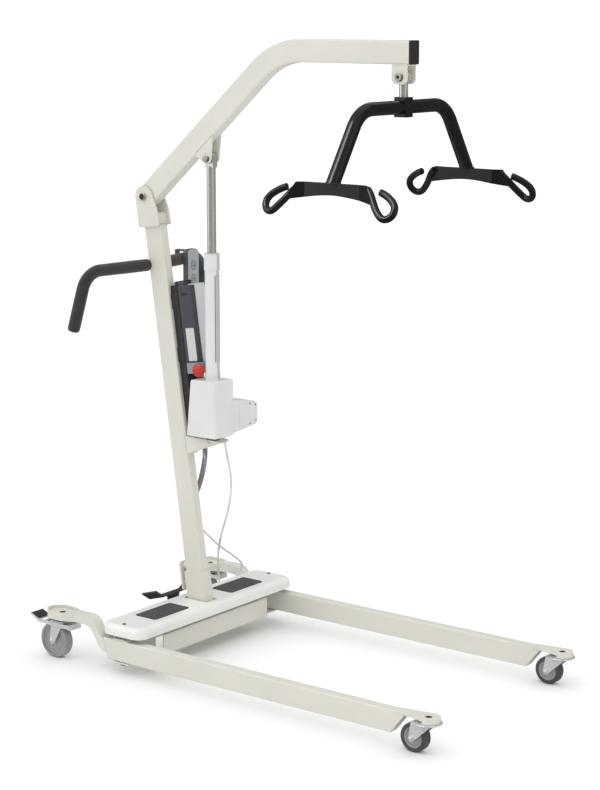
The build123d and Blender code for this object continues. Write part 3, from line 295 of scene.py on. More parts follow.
def srgb(red, green, blue):
    """Linear colour of an 8-bit screen colour."""
    result = []
    for value in (red, green, blue):
        c = value / 255
        result.append(c / 12.92 if c <= 0.04045 else ((c + 0.055) / 1.055) ** 2.4)
    return (*result, 1.0)


def scaled_colour(colour, factor):
    return (*(min(1.0, c * factor) for c in colour[:3]), 1.0)


class Finish:
    """Node tree of one material, in object coordinates, which are the frame's own metres."""

    def __init__(self, name):
        self.material = bpy.data.materials.new(name)
        self.material.use_nodes = True
        self.tree = self.material.node_tree
        self.tree.nodes.clear()
        self.output = self.add("ShaderNodeOutputMaterial")
        self.shader = self.add("ShaderNodeBsdfPrincipled")
        self.link(self.shader.outputs["BSDF"], self.output.inputs["Surface"])
        self.place = self.add("ShaderNodeTexCoord").outputs["Object"]

    def add(self, kind, **values):
        node = self.tree.nodes.new(kind)
        for key, value in values.items():
            setattr(node, key, value)
        return node

    def link(self, source, target):
        self.tree.links.new(source, target)

    def noise(self, scale, detail=3.0, rough=0.5, stretch=None):
        """Noise value around 0.5; stretch multiplies the coordinates per axis."""
        node = self.add("ShaderNodeTexNoise")
        node.inputs["Scale"].default_value = scale
        node.inputs["Detail"].default_value = detail
        node.inputs["Roughness"].default_value = rough
        if stretch is None:
            self.link(self.place, node.inputs["Vector"])
        else:
            mapping = self.add("ShaderNodeMapping")
            mapping.inputs["Scale"].default_value = stretch
            self.link(self.place, mapping.inputs["Vector"])
            self.link(mapping.outputs["Vector"], node.inputs["Vector"])
        return node.outputs["Fac"]

    def spread(self, value, low, high, start=0.3, end=0.7):
        """Maps start..end of a value to low..high."""
        node = self.add("ShaderNodeMapRange")
        node.inputs["From Min"].default_value = start
        node.inputs["From Max"].default_value = end
        node.inputs["To Min"].default_value = low
        node.inputs["To Max"].default_value = high
        self.link(value, node.inputs["Value"])
        return node.outputs["Result"]

    def mix(self, factor, first, second, blend="MIX"):
        """Colour mix; first and second are colours or sockets."""
        node = self.add("ShaderNodeMix", data_type="RGBA", blend_type=blend)
        for socket, value in ((node.inputs[6], first), (node.inputs[7], second)):
            if isinstance(value, tuple):
                socket.default_value = value
            else:
                self.link(value, socket)
        if isinstance(factor, (int, float)):
            node.inputs[0].default_value = factor
        else:
            self.link(factor, node.inputs[0])
        return node.outputs[2]

    def math(self, operation, first, second=0.0):
        node = self.add("ShaderNodeMath", operation=operation)
        for socket, value in zip(node.inputs, (first, second)):
            if isinstance(value, (int, float)):
                socket.default_value = value
            else:
                self.link(value, socket)
        return node.outputs[0]

    def edge_highlight_mask_and_normal(self, radius):
        """Mask that is 1 on edges tighter than the radius, used for painted edge highlights, and the rounded
        normal.
        """
        rounded = self.add("ShaderNodeBevel", samples=6)
        rounded.inputs["Radius"].default_value = radius
        geometry = self.add("ShaderNodeNewGeometry")
        dot = self.add("ShaderNodeVectorMath", operation="DOT_PRODUCT")
        self.link(rounded.outputs["Normal"], dot.inputs[0])
        self.link(geometry.outputs["Normal"], dot.inputs[1])
        return self.spread(dot.outputs["Value"], 1.0, 0.0, 0.8, 0.995), rounded.outputs["Normal"]

    def bump(self, height, distance, normal=None, strength=1.0):
        node = self.add("ShaderNodeBump")
        node.inputs["Strength"].default_value = strength
        node.inputs["Distance"].default_value = distance
        self.link(height, node.inputs["Height"])
        if normal is not None:
            self.link(normal, node.inputs["Normal"])
        return node.outputs["Normal"]

    def set(self, **values):
        """Plain values or sockets of the main shader."""
        names = {
            "colour": "Base Color", "metallic": "Metallic", "roughness": "Roughness", "normal": "Normal",
            "coat": "Coat Weight", "coat_roughness": "Coat Roughness", "sheen": "Sheen Weight",
            "specular": "Specular IOR Level", "anisotropic": "Anisotropic", "subsurface": "Subsurface Weight",
        }
        for key, value in values.items():
            socket = self.shader.inputs[names[key]]
            if isinstance(value, (int, float, tuple)):
                socket.default_value = value
            else:
                self.link(value, socket)


def paint(name, colour, roughness, peel=420.0, peel_depth=0.00006, edge=0.0012, tone=0.03, edge_highlight_strength=0.10,
          coat=0.0, specular=0.5):
    """Powder coat: orange peel, a slow change of tone, a painted highlight on edges in patches."""
    f = Finish(name)
    slow = f.noise(5.0, 4.0)
    dark = tuple(c * (1 - tone) for c in colour[:3]) + (1.0,)
    light = tuple(min(1.0, c * (1 + tone)) for c in colour[:3]) + (1.0,)
    body = f.mix(f.spread(slow, 0.0, 1.0), dark, light)
    # painted highlight: edges are mixed toward white, broken up in patches
    mask, rounded = f.edge_highlight_mask_and_normal(edge)
    edge_highlight_patches = f.spread(f.noise(60.0, 5.0, 0.6), 0.0, 1.0, 0.45, 0.7)
    painted_edge_highlight = f.math("MULTIPLY", f.math("MULTIPLY", mask, edge_highlight_patches), edge_highlight_strength * 4)
    body = f.mix(painted_edge_highlight, body, (1.0, 1.0, 1.0, 1.0))
    dust = f.spread(f.noise(22.0, 5.0, 0.65), 0.0, 0.10, 0.55, 0.75)
    body = f.mix(dust, body, tuple(c * 0.86 for c in colour[:3]) + (1.0,))
    f.set(
        colour=body,
        roughness=f.spread(f.noise(35.0, 4.0), roughness - 0.06, roughness + 0.08),
        normal=f.bump(f.noise(peel, 2.0), peel_depth, rounded),
        coat=coat,
        coat_roughness=0.08,
        specular=specular,
    )
    return f.material


def plastic(name, colour, roughness, spark=1500.0, spark_depth=0.00005, edge=0.0012, tone=0.03, coat=0.0,
            subsurface=0.0):
    """Moulded plastic: spark-eroded texture, handling marks that change only the gloss, a painted highlight on
    edges.
    """
    f = Finish(name)
    slow = f.noise(8.0, 4.0)
    dark = tuple(c * (1 - tone) for c in colour[:3]) + (1.0,)
    light = tuple(min(1.0, c * (1 + tone)) for c in colour[:3]) + (1.0,)
    body = f.mix(f.spread(slow, 0.0, 1.0), dark, light)
    mask, rounded = f.edge_highlight_mask_and_normal(edge)
    # painted highlight: edges are mixed a little toward white
    body = f.mix(f.math("MULTIPLY", mask, 0.12), body, (1.0, 1.0, 1.0, 1.0))
    f.set(
        colour=body,
        roughness=f.spread(f.noise(26.0, 6.0, 0.6), roughness - 0.07, roughness + 0.09),
        normal=f.bump(f.noise(spark, 2.0), spark_depth, rounded),
        coat=coat,
        coat_roughness=0.1,
        subsurface=subsurface,
    )
    return f.material


def rubber(name, colour, roughness=0.7, grain=1100.0, depth=0.0001, sheen=0.15, edge=0.001):
    """Rubber or foam skin: fine grain, a patchy bloom of dust."""
    f = Finish(name)
    slow = f.spread(f.noise(18.0, 5.0, 0.6), 0.0, 1.0)
    body = f.mix(slow, scaled_colour(colour, 0.82), scaled_colour(colour, 1.25))
    _, rounded = f.edge_highlight_mask_and_normal(edge)
    f.set(
        colour=body,
        roughness=f.spread(f.noise(45.0, 5.0), roughness - 0.08, roughness + 0.1),
        normal=f.bump(f.noise(grain, 3.0, 0.6), depth, rounded),
        sheen=sheen,
        specular=0.35,
    )
    return f.material


def foam(name, colour):
    """Closed-cell foam: open pores at two sizes over a soft skin, with painted shade in the pores."""
    f = Finish(name)
    cells = f.add("ShaderNodeTexVoronoi")
    cells.inputs["Scale"].default_value = 900.0
    f.link(f.place, cells.inputs["Vector"])
    pores = f.spread(cells.outputs["Distance"], 0.0, 1.0, 0.05, 0.5)
    patches = f.spread(f.noise(30.0, 5.0, 0.6), 0.0, 1.0)
    body = f.mix(patches, scaled_colour(colour, 0.85), scaled_colour(colour, 1.25))
    # painted shade: the pores are darkened toward black
    body = f.mix(f.math("MULTIPLY", f.math("SUBTRACT", 1.0, pores), 0.35), body, (0.004, 0.004, 0.004, 1.0))
    f.set(
        colour=body,
        roughness=f.spread(patches, 0.75, 0.92, 0.0, 1.0),
        normal=f.bump(f.math("ADD", pores, f.noise(260.0, 4.0)), 0.00022),
        sheen=0.3,
        specular=0.25,
    )
    return f.material


def plated(name, colour, roughness, brush=(1.0, 1.0, 1.0), brush_scale=300.0, depth=0.00002, edge=0.0008,
           tone=0.08, tint=None, metallic=1.0):
    """Plated or brushed metal; brush stretches the marks, tint is a second plating colour in patches."""
    f = Finish(name)
    marks = f.noise(brush_scale, 5.0, 0.65, stretch=brush)
    slow = f.spread(f.noise(40.0, 4.0, 0.6), 0.0, 1.0)
    dark = tuple(c * (1 - tone) for c in colour[:3]) + (1.0,)
    second = tint if tint is not None else tuple(min(1.0, c * (1 + tone)) for c in colour[:3]) + (1.0,)
    body = f.mix(slow, dark, second)
    _, rounded = f.edge_highlight_mask_and_normal(edge)
    f.set(
        colour=body,
        metallic=metallic,
        roughness=f.spread(marks, max(0.03, roughness - 0.08), roughness + 0.1),
        normal=f.bump(marks, depth, rounded),
    )
    return f.material


CREAM = srgb(219, 217, 207)
FINISHES = {
    "frame_paint": paint("cream_powder_coat", CREAM, 0.42),
    "cover_plastic": plastic("white_cover_plastic", srgb(236, 236, 233), 0.34, spark=900.0,
                             spark_depth=0.00003, coat=0.15),
    "pad_rubber": rubber("pad_rubber", srgb(70, 70, 71), 0.78),
    "grip_foam": foam("grip_foam", srgb(52, 51, 51)),
    "black_paint": paint("gloss_black_coat", srgb(24, 24, 25), 0.16, peel=520.0, peel_depth=0.00004,
                         tone=0.15, edge_highlight_strength=0.01, coat=0.2, specular=0.3),
    "black_plastic": plastic("black_plastic", srgb(44, 44, 46), 0.45),
    "zinc_steel": plated("bright_zinc", (0.72, 0.75, 0.79, 1.0), 0.36, brush_scale=180.0, tone=0.09,
                         tint=(0.78, 0.79, 0.75, 1.0), metallic=0.35),
    "bolt_steel": plated("bolt_zinc", (0.50, 0.51, 0.50, 1.0), 0.32, brush_scale=420.0, tone=0.12,
                         tint=(0.60, 0.58, 0.50, 1.0)),
    "chrome_rod": plated("polished_rod", (0.72, 0.71, 0.67, 1.0), 0.2, brush=(1.0, 1.0, 14.0),
                         brush_scale=160.0, tone=0.04, metallic=0.7),
    "housing_plastic": plastic("actuator_plastic", srgb(224, 225, 224), 0.42),
    "battery_plastic": plastic("battery_plastic", srgb(70, 70, 78), 0.5),
    "control_plastic": plastic("control_plastic", srgb(150, 152, 157), 0.45),
    "red_plastic": plastic("red_plastic", srgb(196, 48, 36), 0.3, spark_depth=0.00001, coat=0.3,
                           subsurface=0.05),
    "hub_plastic": plastic("hub_nylon", srgb(158, 159, 158), 0.5),
    "tyre_rubber": rubber("grey_tyre", srgb(142, 142, 141), 0.6, grain=700.0),
    "tread_rubber": rubber("dark_tread", srgb(70, 70, 70), 0.62, grain=700.0),
    "pendant_plastic": plastic("pendant_plastic", srgb(168, 171, 173), 0.42),
    "button_rubber": rubber("button_rubber", srgb(138, 142, 146), 0.55, depth=0.00003),
    "cord_sleeve": rubber("cord_sleeve", srgb(150, 151, 153), 0.5, depth=0.00003),
    "cable_sleeve": rubber("cable_sleeve", srgb(214, 215, 214), 0.45, depth=0.00002),
    "drive_metal": plated("gear_case", (0.30, 0.31, 0.32, 1.0), 0.5, brush_scale=240.0, depth=0.00008),
}
EXTRA = {
    "weld": paint("painted_weld", CREAM, 0.40, peel=700.0, peel_depth=0.0001, edge=0.0005),
    "black_weld": paint("black_weld", srgb(30, 30, 31), 0.25, peel=700.0, peel_depth=0.0001, edge=0.0005,
                        coat=0.5),
    "label": plastic("blank_label", srgb(204, 205, 203), 0.55, spark_depth=0.00001, edge=0.0003),
    "seal": rubber("black_seal", srgb(34, 34, 35), 0.45),
    # painted shade for recesses: bolt sockets, the battery slot and the seats of the caster stems
    "shade_in_recess": plastic("painted_recess_shade", srgb(34, 34, 36), 0.6),
    "groove_grey": plastic("groove_grey", srgb(186, 188, 191), 0.5),
    "pale_case": plastic("pale_case", srgb(206, 207, 206), 0.42),
    # painted shade for the handset's faces that are not turned to the front
    "handset_painted_shade": plastic("handset_painted_shade", srgb(86, 87, 90), 0.5),
    "bright_dome": plated("bright_dome", (0.82, 0.83, 0.85, 1.0), 0.25, brush_scale=200.0, tone=0.05,
                          metallic=0.5),
    "mark": plastic("grey_mark", srgb(92, 94, 98), 0.5, spark_depth=0.00001, edge=0.0002),
}


def dress_cad_nodes():
    """Every node that stays on show gets its finish; faces keep their own shape."""
    for node, piece in NODES.items():
        mesh = piece.data
        mesh.materials.clear()
        mesh.materials.append(FINISHES[SLOT_OF[node]])


def tint_faces(node, material, test):
    """Faces of a CAD node that pass a test on their centre and normal get a second finish."""
    mesh = NODES[node].data
    index = len(mesh.materials)
    mesh.materials.append(material)
    for polygon in mesh.polygons:
        if test(polygon.center, polygon.normal):
            polygon.material_index = index


def round_edges(node, width, segments=3):
    rounding = NODES[node].modifiers.new("edges", "BEVEL")
    rounding.width = width
    rounding.segments = segments
    rounding.limit_method = "ANGLE"
    rounding.angle_limit = math.radians(40)


def tint_cad_nodes():
    """Second finishes on mouldings and turned parts that are made of two colours, and painted shade on the
    handset's sides and the caster stems' seats.
    """
    def behind_battery(centre, normal):
        return (centre - MAST_FOOT).dot(AHEAD) < 0.0572

    def beside_battery(centre, normal):
        place = centre - MAST_FOOT
        return place.dot(AHEAD) > 0.0571 and place.dot(UP) > 0.6761

    def in_groove(centre, normal):
        return normal.x > 0.95 and abs(centre.y) < 0.0046

    def stem_seat(centre, normal):
        return normal.z > 0.95

    def lever_pad(centre, normal):
        return centre.x < BEAM_X - 0.302 and normal.z > 0.2

    # painted shade: every face of the handset not turned to the front is darker grey
    def handset_shaded_faces(centre, normal):
        return normal.x < 0.55

    tint_faces("control_box", FINISHES["black_plastic"], behind_battery)
    tint_faces("control_box", EXTRA["pale_case"], beside_battery)
    tint_faces("actuator_tube", EXTRA["groove_grey"], in_groove)
    tint_faces("pendant_body", EXTRA["handset_painted_shade"], handset_shaded_faces)
    for side_name, _ in SIDES:
        # painted shade: the caster stems' upward faces take the dark recess colour
        tint_faces(f"{side_name}_caster_stems", EXTRA["shade_in_recess"], stem_seat)
        tint_faces(f"{side_name}_brake_lever", FINISHES["black_plastic"], lever_pad)
    round_edges("hook_bars", 0.0042, 4)
    round_edges("spreader_saddle", 0.002)
    round_edges("mast_fork", 0.0012, 2)
    round_edges("spread_pedal", 0.001, 2)


dress_cad_nodes()
tint_cad_nodes()


# ---------------------------------------------------------------- push handle grips

def corner_path(points, radius, steps=16):
    """Straight runs joined by arcs of one radius."""
    path = [points[0]]
    for before, corner, after in zip(points, points[1:], points[2:]):
        into = (before - corner).normalized()
        out = (after - corner).normalized()
        half = into.angle(out) / 2
        reach = radius / math.tan(half)
        centre = corner + (into + out).normalized() * (radius / math.sin(half))
        start = corner + into * reach
        end = corner + out * reach
        arm_a = start - centre
        arm_b = end - centre
        sweep = arm_a.angle(arm_b)
        for k in range(steps + 1):
            t = k / steps
            path.append(centre + (
                math.sin((1 - t) * sweep) * arm_a + math.sin(t * sweep) * arm_b) / math.sin(sweep))
    path.append(points[-1])
    return path


GRIP_R = 17.0 * MM
GRIP_BEND = 55.0 * MM
GRIP_START = 18.0 * MM  # from the middle plane
GRIP_ROUND = 9.0 * MM  # length of the rounded end
GRIP_NOSE = 5.5 * MM  # how much the end closes in
GRIP_STEP = 3.0 * MM


def make_grips():
    """Foam sleeves on both halves of the handle, a little fatter in the middle, with rounded ends."""
    _, high = node_box("hand_grips")
    height = high.z - GRIP_R
    for side_name, sign in SIDES:
        start = at(-159, sign * 8, height / MM)
        corner = at(-191, sign * 240, height / MM)
        tip = at(-225, sign * 262, 917)
        line = corner_path([start, corner, tip], GRIP_BEND)
        line = [p for p in even_path(line, GRIP_STEP) if abs(p.y) > GRIP_START]
        length = GRIP_STEP * (len(line) - 1)

        def radius(s, length=length):
            gap = min(s, length - s)
            full = GRIP_R + 0.25 * MM * math.sin(s / length * math.pi * 3)
            if gap >= GRIP_ROUND:
                return full
            t = 1 - gap / GRIP_ROUND
            return full - (1 - math.sqrt(max(0.0, 1 - t * t))) * GRIP_NOSE

        fine = GRIP_STEP / 4
        ends = even_path(line[:5], fine)[:-1] + line[4:-5] + even_path(line[-6:], fine)
        points, faces = swept(ends, radius, around=36)
        mesh = mesh_from(f"grip_{side_name}", points, faces, angle=60)
        piece = add_object(f"grip_{side_name}", mesh, "base", "grip_foam")
        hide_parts("hand_grips")


make_grips()


# ---------------------------------------------------------------- leads

COIL_PITCH = 4.4 * MM
COIL_REACH = 6.1 * MM  # from the coil's axis to the middle of its wire
COIL_WIRE_R = 1.75 * MM
COIL_STEPS = 14  # points in one turn
PLAIN_TURNS = 5  # length of the straight tails, in turns
BOOT_R = 5.5 * MM
BOOT_LENGTH = 20 * MM


def boot(centre, direction, radius, length):
    """Ribbed strain relief that a lead leaves through."""
    profile = [(0.0, 0.0), (radius, 0.0)]
    for k in range(5):
        r = radius * (1 - 0.09 * k)
        start = length * k / 5
        profile += [(r, start + length * 0.02), (r, start + length * 0.13), (r * 0.8, start + length * 0.15)]
    profile.append((0.0, length))
    return turned(profile, centre, direction, 24)


def make_leads():
    """Coiled handset lead and the two thin leads that run down behind the cover."""
    coil_line = [
        at(-147, 146, 963), at(-143, 141, 890), at(-118, 114, 780), at(-70, 78, 655), at(-24, 54, 556),
        at(-44, 48, 450), at(-76, 42, 412), at(-98, 37, 470), at(-90, 35, 560), at(-54, 34, 645),
        at(-20, 34, 695), at(-11, 34, 740), at(-14, 34, 783),
    ]
    line = even_path(spline(coil_line, 24), COIL_PITCH / COIL_STEPS)
    tail = PLAIN_TURNS * COIL_STEPS
    wire = []
    for i, (centre, _, across, up) in enumerate(path_frames(line)):
        inner = min(i, len(line) - 1 - i)
        grow = min(1.0, max(0.0, (inner - tail) / (3.0 * COIL_STEPS)))
        turn = 2 * math.pi * i / COIL_STEPS
        reach = COIL_REACH * grow
        wire.append(centre + reach * (math.cos(turn) * across + math.sin(turn) * up))
    coil = swept(wire, COIL_WIRE_R, 8)
    boots = joined(
        boot(coil_line[0] + Vector((0, 0, 1 * MM)), coil_line[1] - coil_line[0], BOOT_R, BOOT_LENGTH),
        boot(coil_line[-1] + Vector((0, 0, 3 * MM)), coil_line[-2] - coil_line[-1], BOOT_R, BOOT_LENGTH),
    )
    mesh = mesh_from("coiled_lead", *joined(coil, boots), angle=50)
    piece = add_object("coiled_lead", mesh, "base", "cord_sleeve")
    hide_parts("pendant_cord")

    thin = (
        ("motor_lead", "motor_cable", 3.0, (
            at(37, 60, 624), at(43, 70, 549), at(45, 85, 475), at(21, 105, 394), at(-30, 130, 292),
            at(-60, 152, 232), at(-78, 172, 180), at(-85, 186, 130), at(-80, 190, 100), at(-69, 191, 86),
        )),
        ("charger_lead", "charger_cable", 2.6, (
            at(-38, 17.5, 352), at(-16, 26, 334), at(-24, 110, 268), at(-32, 200, 209), at(-42, 238, 179),
            at(-62, 252, 148), at(-82, 247, 122), at(-82, 232, 100), at(-69, 222, 86),
        )),
    )
    for name, node, radius, places in thin:
        line = spline(list(places), 18)
        shape = joined(
            swept(line, radius * MM, 14),
            boot(line[0], line[1] - line[0], radius * 2.0 * MM, radius * 6 * MM),
            boot(line[-1], line[-2] - line[-1], radius * 2.0 * MM, radius * 6 * MM),
        )
        piece = add_object(name, mesh_from(name, *shape, angle=50), "base", "cable_sleeve")
        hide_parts(node)


make_leads()


# ---------------------------------------------------------------- step pads

PAD_LENGTH = 0.145
PAD_FLOOR = 2.5 * MM  # thickness between the ribs
PAD_TOP = 3 * MM
PAD_RIM = 8 * MM  # both sides of the rim together
RIB_COUNT = 17
RIB_WIDTH = 1.9 * MM


def make_step_pads():
    """Rubber mats with moulded ribs inside a plain rim."""
    low, high = node_box("step_pads")
    width = high.x - low.x
    middle_x = (high.x + low.x) / 2
    for side_name, sign in SIDES:
        middle = Vector((middle_x, sign * (high.y - PAD_LENGTH / 2), low.z))
        outline = rounded_outline(width, PAD_LENGTH, 8 * MM, 8)
        inner = rounded_outline(width - PAD_RIM, PAD_LENGTH - PAD_RIM, 5 * MM, 8)
        shapes = [outline_plate(outline, PAD_FLOOR, middle, X_AXIS, Y_AXIS)]
        count = len(outline)
        rim = []
        for ring, height in ((outline, PAD_FLOOR), (inner, PAD_FLOOR), (inner, PAD_TOP), (outline, PAD_TOP)):
            rim += [middle + X_AXIS * u + Y_AXIS * v + Z_AXIS * height for u, v in ring]
        faces = []
        for a, b in ((0, 1), (1, 2), (2, 3), (3, 0)):
            for k in range(count):
                after = (k + 1) % count
                faces.append((a * count + k, a * count + after, b * count + after, b * count + k))
        shapes.append((rim, faces))
        rib = rounded_outline(RIB_WIDTH, PAD_LENGTH - 11 * MM, 0.9 * MM, 3)
        for k in range(RIB_COUNT):
            across = (k - (RIB_COUNT - 1) / 2) * (width - 13 * MM) / (RIB_COUNT - 1)
            start = middle + X_AXIS * across + Z_AXIS * PAD_FLOOR
            shapes.append(outline_plate(rib, 0.5 * MM, start, X_AXIS, Y_AXIS))
        name = f"step_mat_{side_name}"
        piece = add_object(name, mesh_from(name, *joined(*shapes), angle=30), "base", "pad_rubber",
                           bevel=0.25 * MM)
        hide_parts("step_pads")


make_step_pads()


# ---------------------------------------------------------------- bolts, seals and marks

def ring_profile(inner, outer, height, lip=0.4):
    """Washer or rim with softened corners."""
    return [
        (inner, 0.0), (outer, 0.0), (outer, height - lip), (outer - lip, height), (inner + lip, height),
        (inner, height - lip), (inner, 0.0),
    ]


def beside(place, y):
    """The same place at another distance from the middle plane, in millimetres."""
    return Vector((place.x, y * MM, place.z))


def add_turned(name, profile, centre, axis, body, slot, material=None, around=40):
    scaled = [(r * MM, h * MM) for r, h in profile]
    return add_object(name, mesh_from(name, *turned(scaled, centre, axis, around)), body, slot, material)


def make_bolt_details():
    """Painted shade for the recessed socket on the hinge bolt, washers and painted-shade sockets on the boom's
    bolts, a wiper and a buffer.
    """
    near = -Y_AXIS
    face = beside(HINGE, -32)
    add_turned("hinge_bolt_rim", ring_profile(8.0, 10.7, 1.6), face, near, "base", "bolt_steel")
    # the socket is a dark disk of painted shade
    add_turned("hinge_bolt_socket", [(8.1, -0.2), (8.1, 0.25), (4.0, 0.5), (0.0, 0.2)], face, near, "base",
               "black_plastic", EXTRA["shade_in_recess"])
    add_turned("hinge_washer", ring_profile(10.0, 13.5, 1.2), beside(HINGE, -26), near, "base", "bolt_steel",
               EXTRA["weld"])
    hanger = joint_place("hanger_swing")
    add_turned("hanger_washer", ring_profile(6.0, 12.0, 1.5), beside(hanger, -20), near, "boom", "bolt_steel")
    # the socket is a dark disk of painted shade
    add_turned("hanger_socket", [(4.4, -0.1), (4.4, 0.2), (0.0, 0.3)], beside(hanger, -27), near, "boom",
               "bolt_steel", EXTRA["shade_in_recess"])
    bush = ring_profile(7.0, 13.5, 0.8, 0.2)
    for name, y in (("near", -15.9), ("far", 15.1)):
        add_turned(f"hanger_bush_{name}", bush, beside(hanger, y), Y_AXIS, "boom", "black_plastic")
    eye = joint_place("rod_swing")
    add_turned("eye_washer", ring_profile(5.0, 10.5, 1.4), beside(eye, -20), near, "boom", "bolt_steel")
    rod_low, rod_high = node_box("actuator_rod")
    _, tube_high = node_box("actuator_tube")
    top = Vector(((rod_low.x + rod_high.x) / 2, 0, tube_high.z))
    wiper = [(12.9, -0.5), (21.0, -0.5), (21.0, 1.0), (19.5, 2.2), (15.0, 3.0), (12.9, 2.2), (12.9, -0.5)]
    add_turned("rod_wiper", wiper, top, Z_AXIS, "lift_actuator", "control_plastic", EXTRA["pale_case"], 48)
    bumper = [(0.0, 0.0), (6.0, 0.0), (6.3, 0.8), (5.6, 2.6), (0.0, 3.2)]
    add_turned("boom_buffer", bumper, on_mast(12, -13, 1100), UP, "base", "black_plastic", EXTRA["seal"])


make_bolt_details()


def weld_bead(name, places, radius, body, slot="frame_paint", material=None):
    """Rippled weld bead along a line."""
    line = even_path(list(places), 1.1 * MM)

    def ripple(distance):
        d = distance / MM
        return radius * MM * (1.0 + 0.16 * math.sin(d * 1.9) + 0.05 * math.sin(d * 0.43))

    mesh = mesh_from(name, *swept(line, ripple, 10), angle=80)
    return add_object(name, mesh, body, slot, material or EXTRA["weld"])


def around_mast(half_ahead, half_y, along, corner=3.0):
    """Closed line round the mast with its corners cut off."""
    cut_ahead = half_ahead - corner
    cut_y = half_y - corner
    ring = (
        (cut_ahead, -half_y), (half_ahead, -cut_y), (half_ahead, cut_y), (cut_ahead, half_y),
        (-cut_ahead, half_y), (-half_ahead, cut_y), (-half_ahead, -cut_y), (-cut_ahead, -half_y),
    )
    return [on_mast(u, y, along) for u, y in (*ring, ring[0])]


def make_welds():
    """Beads where the bracket, fork, socket, hanger and spreader tubes are joined."""
    weld_bead("socket_weld", around_mast(31.2, 16.2, 82.4), 1.6, "base")
    weld_bead("fork_weld", around_mast(30.8, 15.8, 1063.2), 1.7, "base")
    for name, y in (("near", -21.6), ("far", 21.6)):
        weld_bead(f"bracket_weld_{name}", [on_mast(30.8, y, 421), on_mast(30.8, y, 471)], 1.7, "base")
    low, high = node_box("hanger_bracket")
    for name, y in (("near", -20.0), ("far", 20.0)):
        ends = [Vector((x, y * MM, high.z)) for x in (low.x + 2 * MM, high.x - 2 * MM)]
        weld_bead(f"hanger_weld_{name}", ends, 1.5, "boom")
    low, high = node_box("spreader_arch")
    for side_name, sign in SIDES:
        foot = Vector(((low.x + high.x) / 2, sign * (high.y - 19.5 * MM), low.z + 0.8 * MM))
        ring = [
            foot + Vector((17.6 * MM * math.cos(turn), 19.2 * MM * math.sin(turn), 0))
            for turn in (k * math.pi / 18 for k in range(37))
        ]
        weld_bead(f"arch_weld_{side_name}", ring, 2.0, "spreader", "black_paint", EXTRA["black_weld"])


make_welds()


def add_plate(name, outline, depth, origin, x_dir, y_dir, body, slot, material=None, bevel=0.0):
    scaled = [(u * MM, v * MM) for u, v in outline]
    mesh = mesh_from(name, *outline_plate(scaled, depth * MM, origin, x_dir, y_dir), angle=30)
    return add_object(name, mesh, body, slot, material, bevel=bevel * MM)


BATTERY_FACE = -8.0  # to the left of the middle plane, in millimetres
STRIP_R = 20.4
STRIP_EDGE_R = 20.7
STRIP_INNER_R = 19.4
STRIP_LENGTH = 240


def arc_band(radius, inner, start, end, steps=12):
    """Outline of a band between two radii and two angles in degrees."""
    turns = [math.radians(start + (end - start) * k / steps) for k in range(steps + 1)]
    outer = [(radius * math.cos(turn), radius * math.sin(turn)) for turn in turns]
    return outer + [(inner * math.cos(turn), inner * math.sin(turn)) for turn in reversed(turns)]


def make_case_details():
    """Motor cap and panel, a dark strip of painted shade in the gap behind the battery, battery label and a slot
    of painted shade, stop button, handset marks, strip on the tube.
    """
    cap = [(104, 629.7), (141.5, 634), (148.2, 649.8), (147.2, 690.3), (138.5, 700.2), (104, 706.9)]
    add_plate("motor_cap", cap, 78.6, at(14.2, 0, 0), Y_AXIS, Z_AXIS, "lift_actuator", "housing_plastic",
              bevel=3.0)
    panel = [(66, 628.5), (134, 637.5), (138.5, 650), (138, 690), (131, 697), (66, 704)]
    add_plate("motor_panel", panel, 2.0, at(91.4, 0, 0), Y_AXIS, Z_AXIS, "lift_actuator", "housing_plastic",
              bevel=0.8)
    screw = [(0.0, 0.9), (2.2, 0.9), (2.7, 0.3), (2.7, -0.5)]
    for k, (y, z) in enumerate(((112, 640), (112, 697), (138, 645), (136, 690))):
        add_turned(f"cap_screw_{k}", screw, at(93.4, y, z), X_AXIS, "lift_actuator", "bolt_steel", around=20)
    # dark strip filling the gap between the mast and the battery case: painted shade in the gap
    add_plate("painted_gap_shade", rounded_outline(18.6, 412, 2), 9.0, on_mast(39.5, 5.0, 688), AHEAD, UP, "base",
              "black_plastic", bevel=0.6)
    add_plate("battery_panel", rounded_outline(30, 92, 3), 0.5, on_mast(86, BATTERY_FACE, 727), AHEAD, UP,
              "battery", "pendant_plastic", EXTRA["label"], 0.15)
    # dark slot on the battery case: painted shade in the slot
    add_plate("battery_slot", rounded_outline(20, 7, 3), 0.6, on_mast(80, BATTERY_FACE, 868), AHEAD, UP,
              "battery", "black_plastic", EXTRA["shade_in_recess"], 0.2)
    low, high = node_box("emergency_stop")
    stop = Vector(((low.x + high.x) / 2, low.y, (low.z + high.z) / 2))
    dimple = [(0.0, 0.2), (3.0, 0.35), (11.0, 0.7), (12.5, 0.3), (12.5, -0.3)]
    add_turned("stop_dimple", dimple, stop, -Y_AXIS, "stop_button", "red_plastic")
    for name, node, sign in (("up", "up_button", 1), ("down", "down_button", -1)):
        low, high = node_box(node)
        centre = Vector((high.x - 0.1 * MM, (low.y + high.y) / 2, (low.z + high.z) / 2))
        arrow = [(-4.5, -3.0 * sign), (4.5, -3.0 * sign), (0.0, 4.5 * sign)]
        if sign < 0:
            arrow.reverse()
        add_plate(f"{name}_mark", arrow, 0.3, centre, Y_AXIS, Z_AXIS, f"{name}_key", "button_rubber",
                  EXTRA["mark"], 0.1)
    low, high = node_box("actuator_tube")
    foot = Vector(((low.x + high.x) / 2, 0, 0.828))
    for name, start, end, radius, material in (
        ("tube_strip", -25, 25, STRIP_R, EXTRA["groove_grey"]),
        ("tube_edge_near", -29, -25, STRIP_EDGE_R, EXTRA["mark"]),
        ("tube_edge_far", 25, 29, STRIP_EDGE_R, EXTRA["mark"]),
    ):
        band = arc_band(radius, STRIP_INNER_R, start, end)
        add_plate(name, band, STRIP_LENGTH, foot, X_AXIS, Y_AXIS, "lift_actuator", "control_plastic",
                  material, 0.2)


make_case_details()


